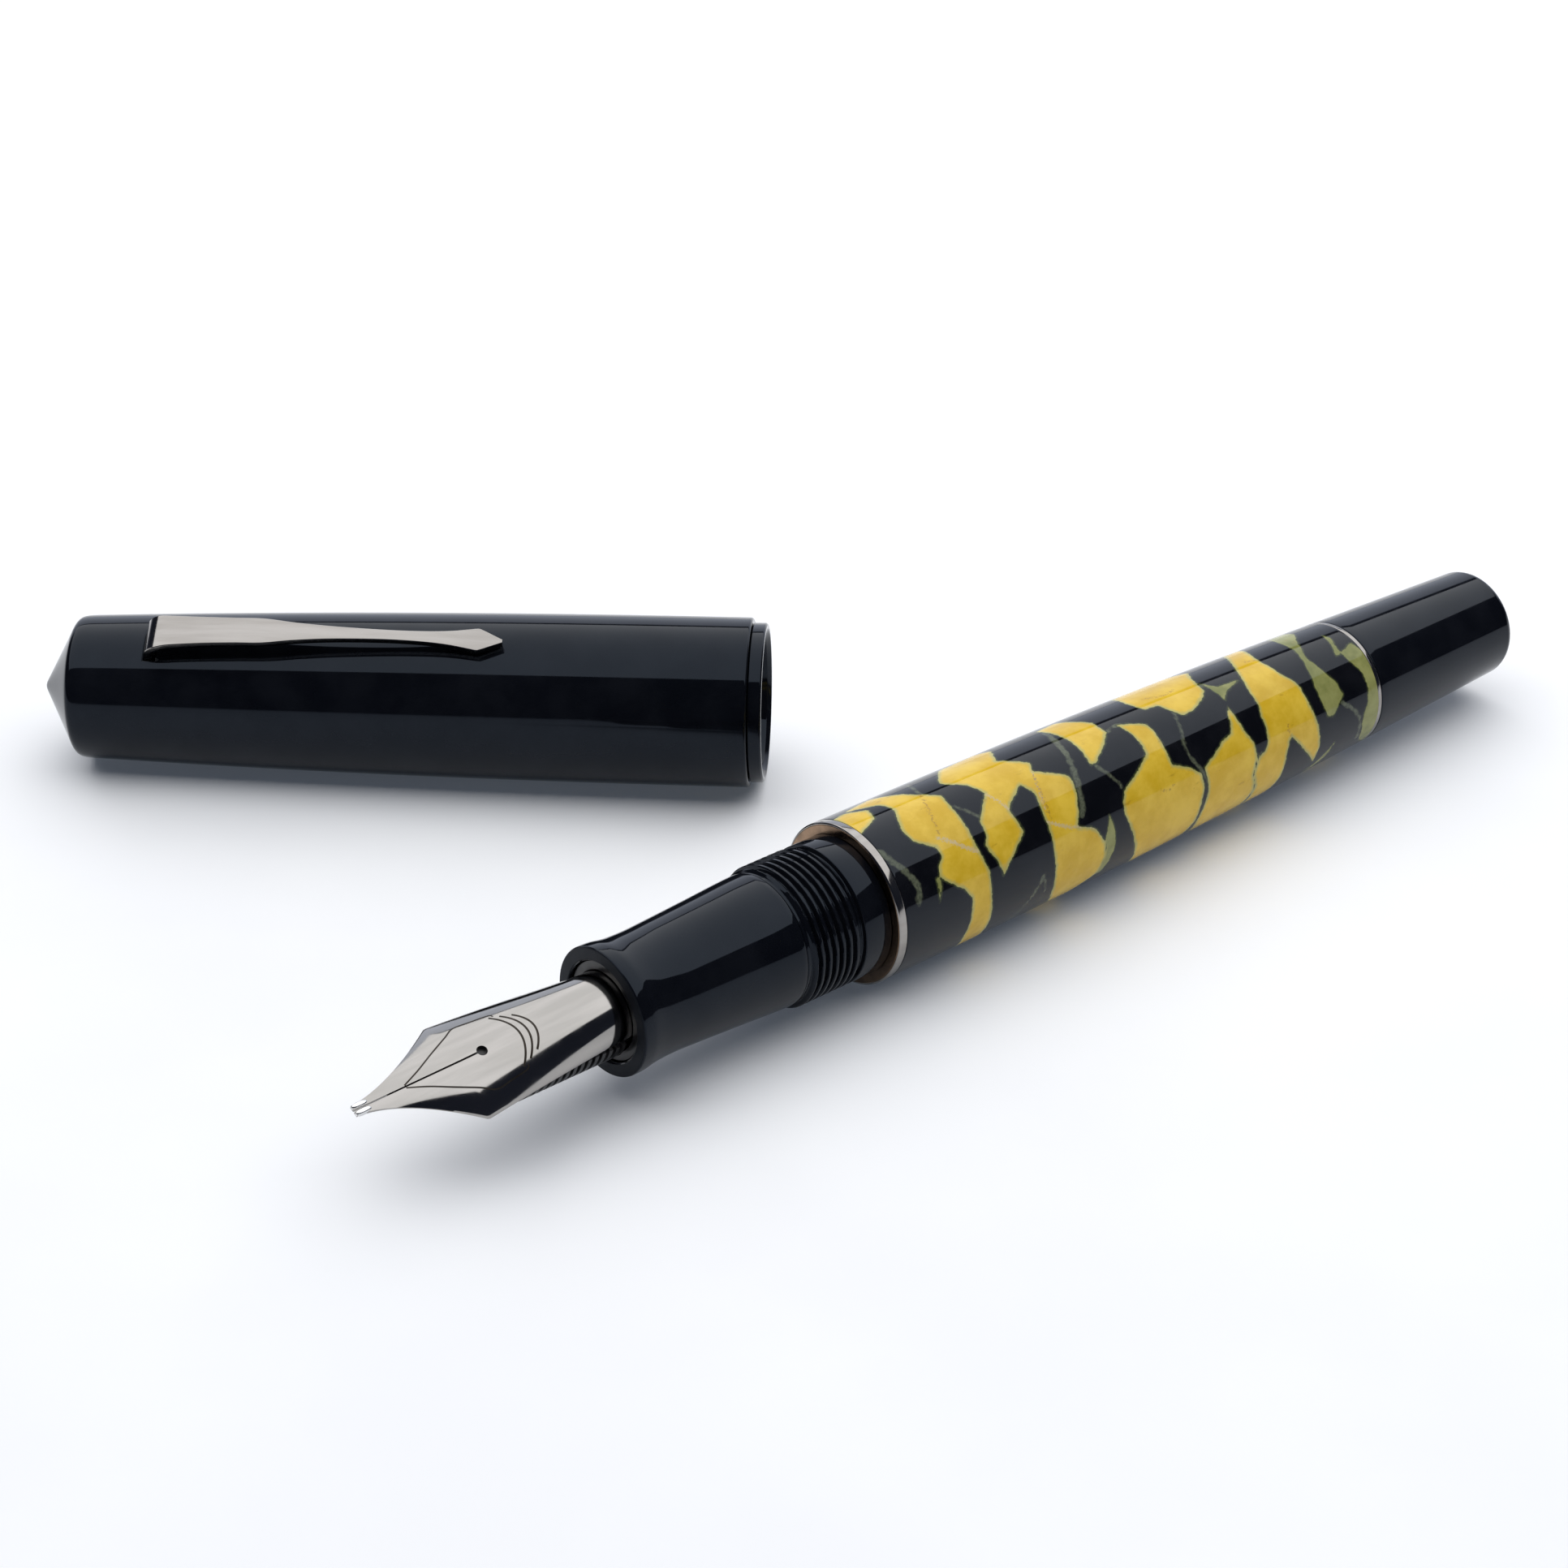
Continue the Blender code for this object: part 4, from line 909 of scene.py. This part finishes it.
def make_cap():
    cone = smooth_line([
        (-4.0, 0.0), (-3.97, 0.22), (-3.86, 0.5), (-3.68, 0.84), (-3.2, 1.72), (-2.0, 3.92), (-1.15, 5.5),
        (-0.86, 6.03), (-0.7, 6.27), (-0.5, 6.42), (-0.2, 6.515), (0.3, 6.575),
    ], 0.25)
    side = [(u, cap_radius(u)) for u in steps(0.8, CAP_LENGTH - 0.22, 90)]
    shell = turned("cap_shell", [tuple(p) for p in cone] + side + [
        (CAP_LENGTH - 0.1, CAP_RADIUS - 0.05), (CAP_LENGTH, CAP_RADIUS - 0.17), (CAP_LENGTH, 7.0),
        (48.0, 7.0), (48.0, 6.45), (37.6, 6.45), (37.6, 5.9), (2.0, 5.9), (2.0, 0.0),
    ], CAP, "cap", BLACK, ["cap_body"], edge=0.06, sides=192)
    cut_clip_slot(shell)
    wall = [(u, 6.35) for u in steps(61.7, 53.6, 170)]
    turned("cap_lip_sleeve", [
        (48.1, 6.5), (48.1, 6.95), (CAP_LENGTH + 0.04, 6.95), (CAP_LENGTH + 0.04, 7.18),
        (CAP_LENGTH + 0.12, 7.28),
        (62.45, 7.28), (62.6, 7.13), (62.6, 6.80), (62.2, 6.45), (61.8, 6.38),
    ] + wall + [(53.0, 6.35), (53.0, 6.5)],
        CAP, "cap", BLACK, ["cap_thread_sleeve"], edge=0.06, sides=THREAD_SIDES,
        shape=thread(53.6, 61.7, 0.75, -0.05, 6.34, 6.36))
    turned("cap_liner", [
        (2.4, 0.0), (2.4, 4.9), (9.8, 4.9), (9.8, 5.85), (36.9, 5.85), (36.9, 5.2), (10.6, 5.2), (10.6, 4.1),
        (4.0, 4.1), (4.0, 0.0),
    ], CAP, "cap", SATIN, ["inner_cap"], edge=0.1, sides=96)


def make_clip():
    """Bent strip with a flat top, a soft edge and an arrow-shaped end."""
    leg = CLIP_LEG
    spine = smooth_line([
        (leg, 5.25, 1.65), (leg, 6.3, 1.65), (leg, 7.1, 1.68), (leg + 0.06, 7.5, 1.74),
        (leg + 0.25, 7.9, 1.79), (leg + 0.6, 8.22, 1.80), (leg + 1.15, 8.45, 1.76), (leg + 2.2, 8.60, 1.64),
        (12.0, 8.74, 1.50),
        (15.0, 8.83, 1.42), (17.6, 8.86, 1.38), (20.5, 8.86, 1.01), (24.0, 8.82, 0.72), (28.5, 8.70, 0.56),
        (32.0, 8.55, 0.61), (34.4, 8.42, 0.80), (36.2, 8.32, 1.10), (36.9, 8.28, 1.22), (37.25, 8.26, 1.14),
        (38.2, 8.20, 0.68), (39.0, 8.14, 0.28), (39.2, 8.13, 0.2),
    ], 0.2)
    half = CLIP_THICKNESS / 2
    vertices = []
    for i, (along, height, half_width) in enumerate(spine):
        before, after = spine[max(i - 1, 0)], spine[min(i + 1, len(spine) - 1)]
        slope = math.atan2(after[1] - before[1], after[0] - before[0])
        wide = max(half_width, 0.14)
        flat, under = max(wide - 0.05, 0.05), max(wide - 0.26, 0.04)
        ring = [
            (-under, -half), (-wide + 0.05, -0.18), (-wide, 0.0), (-wide, half - 0.05), (-flat, half),
            (flat, half), (wide, half - 0.05), (wide, 0.0), (wide - 0.05, -0.18), (under, -half),
        ]
        for across, rise in ring:
            x = along - rise * math.sin(slope) - leg
            z = height + rise * math.cos(slope) - CLIP_HINGE_HEIGHT
            vertices.append((x, across, z))
    faces = skin(len(spine), len(ring), ends=True)
    place("clip_strip", vertices, faces, CLIP, "clip", [GUNMETAL], 30, ["clip"])


# ---- Stage, light and camera ---------------------------------------------------------------------

CAMERA_AZIMUTH = math.radians(3.724)
CAMERA_ELEVATION = math.radians(29.965)
CAMERA_ROLL = math.radians(0.4407)
CAMERA_DISTANCE = 0.337456
CAMERA_TARGET = Vector((0.0003688, 0.0201277, 0.0))
LENS = 84.19
TABLE_REACH = 3.0
SOFTBOX_HEIGHT = 0.5
SOFTBOX_WIDTH = 1.3
SOFTBOX_POWER = 7.9
SOFTBOX_TINT = (0.98, 0.985, 0.99)
# Heights over the table, as seen from the pen, of the softbox's front and back edges
SOFTBOX_FRONT_ANGLE = math.radians(60)
SOFTBOX_BACK_ANGLE = math.radians(31)


def make_stage():
    mesh = bpy.data.meshes.new("table_top")
    corners = [(x * TABLE_REACH, y * TABLE_REACH, 0) for x, y in ((-1, -1), (1, -1), (1, 1), (-1, 1))]
    mesh.from_pydata(corners, [], [(0, 1, 2, 3)])
    look = Look("table_white")
    speck = look.noise(30.0, 4.0)
    look.set("Base Color", look.mix(
        look.ramp(speck, 0.3, 0.7), colour(0.90, 0.90, 0.91), colour(0.93, 0.93, 0.935)))
    look.set("Roughness", 0.6)
    look.set("Specular IOR Level", 0.25)
    # Painted light: a faint bluish glow in the table lifts it to white and tints the shadows on it blue.
    look.set("Emission Color", colour(0.70, 0.82, 1.0))
    look.set("Emission Strength", 0.07)
    mesh.materials.append(look.material)
    table = bpy.data.objects.new("table_top", mesh)
    bpy.context.scene.collection.objects.link(table)


def make_softbox():
    """Large level softbox overhead, with more of it behind the pen than in front."""
    front = -SOFTBOX_HEIGHT / math.tan(SOFTBOX_FRONT_ANGLE)
    back = SOFTBOX_HEIGHT / math.tan(SOFTBOX_BACK_ANGLE)
    middle = (front + back) / 2
    data = bpy.data.lights.new("softbox", "AREA")
    data.shape = "RECTANGLE"
    data.size = SOFTBOX_WIDTH
    data.size_y = back - front
    data.energy = SOFTBOX_POWER
    data.color = SOFTBOX_TINT
    light = bpy.data.objects.new("softbox", data)
    bpy.context.scene.collection.objects.link(light)
    light.location = (0, middle, SOFTBOX_HEIGHT)
    light.rotation_euler = Vector((0, 0, -SOFTBOX_HEIGHT)).to_track_quat("-Z", "Y").to_euler()


def make_room():
    """A dark room with a pale board low down behind the pen."""
    world = bpy.data.worlds.new("studio")
    bpy.context.scene.world = world
    world.use_nodes = True
    tree = world.node_tree
    coordinates = tree.nodes.new("ShaderNodeTexCoord")
    parts = tree.nodes.new("ShaderNodeSeparateXYZ")
    tree.links.new(coordinates.outputs["Generated"], parts.inputs[0])
    board = tree.nodes.new("ShaderNodeMath")
    board.operation = "MULTIPLY"
    tree.links.new(map_range(tree, parts.outputs["Y"], 0.55, 0.70, 0.0, 1.0), board.inputs[0])
    tree.links.new(map_range(tree, parts.outputs["Z"], 0.44, 0.47, 1.0, 0.0), board.inputs[1])
    tone = tree.nodes.new("ShaderNodeMix")
    tone.data_type = "RGBA"
    tone.inputs[6].default_value = colour(0.022, 0.026, 0.040)
    tone.inputs[7].default_value = colour(0.86, 0.92, 1.06)
    tree.links.new(board.outputs[0], tone.inputs[0])
    tree.links.new(tone.outputs[2], tree.nodes["Background"].inputs["Color"])


def make_camera():
    az, el = CAMERA_AZIMUTH, CAMERA_ELEVATION
    look = Vector((-math.sin(az) * math.cos(el), math.cos(az) * math.cos(el), -math.sin(el)))
    right = look.cross(Vector((0, 0, 1))).normalized()
    up = right.cross(look)
    rolled = right * math.cos(CAMERA_ROLL) + up * math.sin(CAMERA_ROLL)
    top = up * math.cos(CAMERA_ROLL) - right * math.sin(CAMERA_ROLL)
    data = bpy.data.cameras.new("camera")
    data.lens = LENS
    data.sensor_width = 36.0
    data.clip_start = 0.01
    data.dof.use_dof = False
    camera = bpy.data.objects.new("camera", data)
    bpy.context.scene.collection.objects.link(camera)
    rotation = Matrix((rolled, top, -look)).transposed().to_4x4()
    camera.matrix_world = Matrix.Translation(CAMERA_TARGET - look * CAMERA_DISTANCE) @ rotation
    bpy.context.scene.camera = camera


make_barrel_unit()
make_grip()
make_nib()
make_tipping()
make_engraving()
make_feed()
make_nib_collar()
make_converter()
make_cap()
make_clip()
make_stage()
make_softbox()
make_room()
make_camera()
# The standard view keeps the pale table white.
bpy.context.scene.view_settings.view_transform = "Standard"
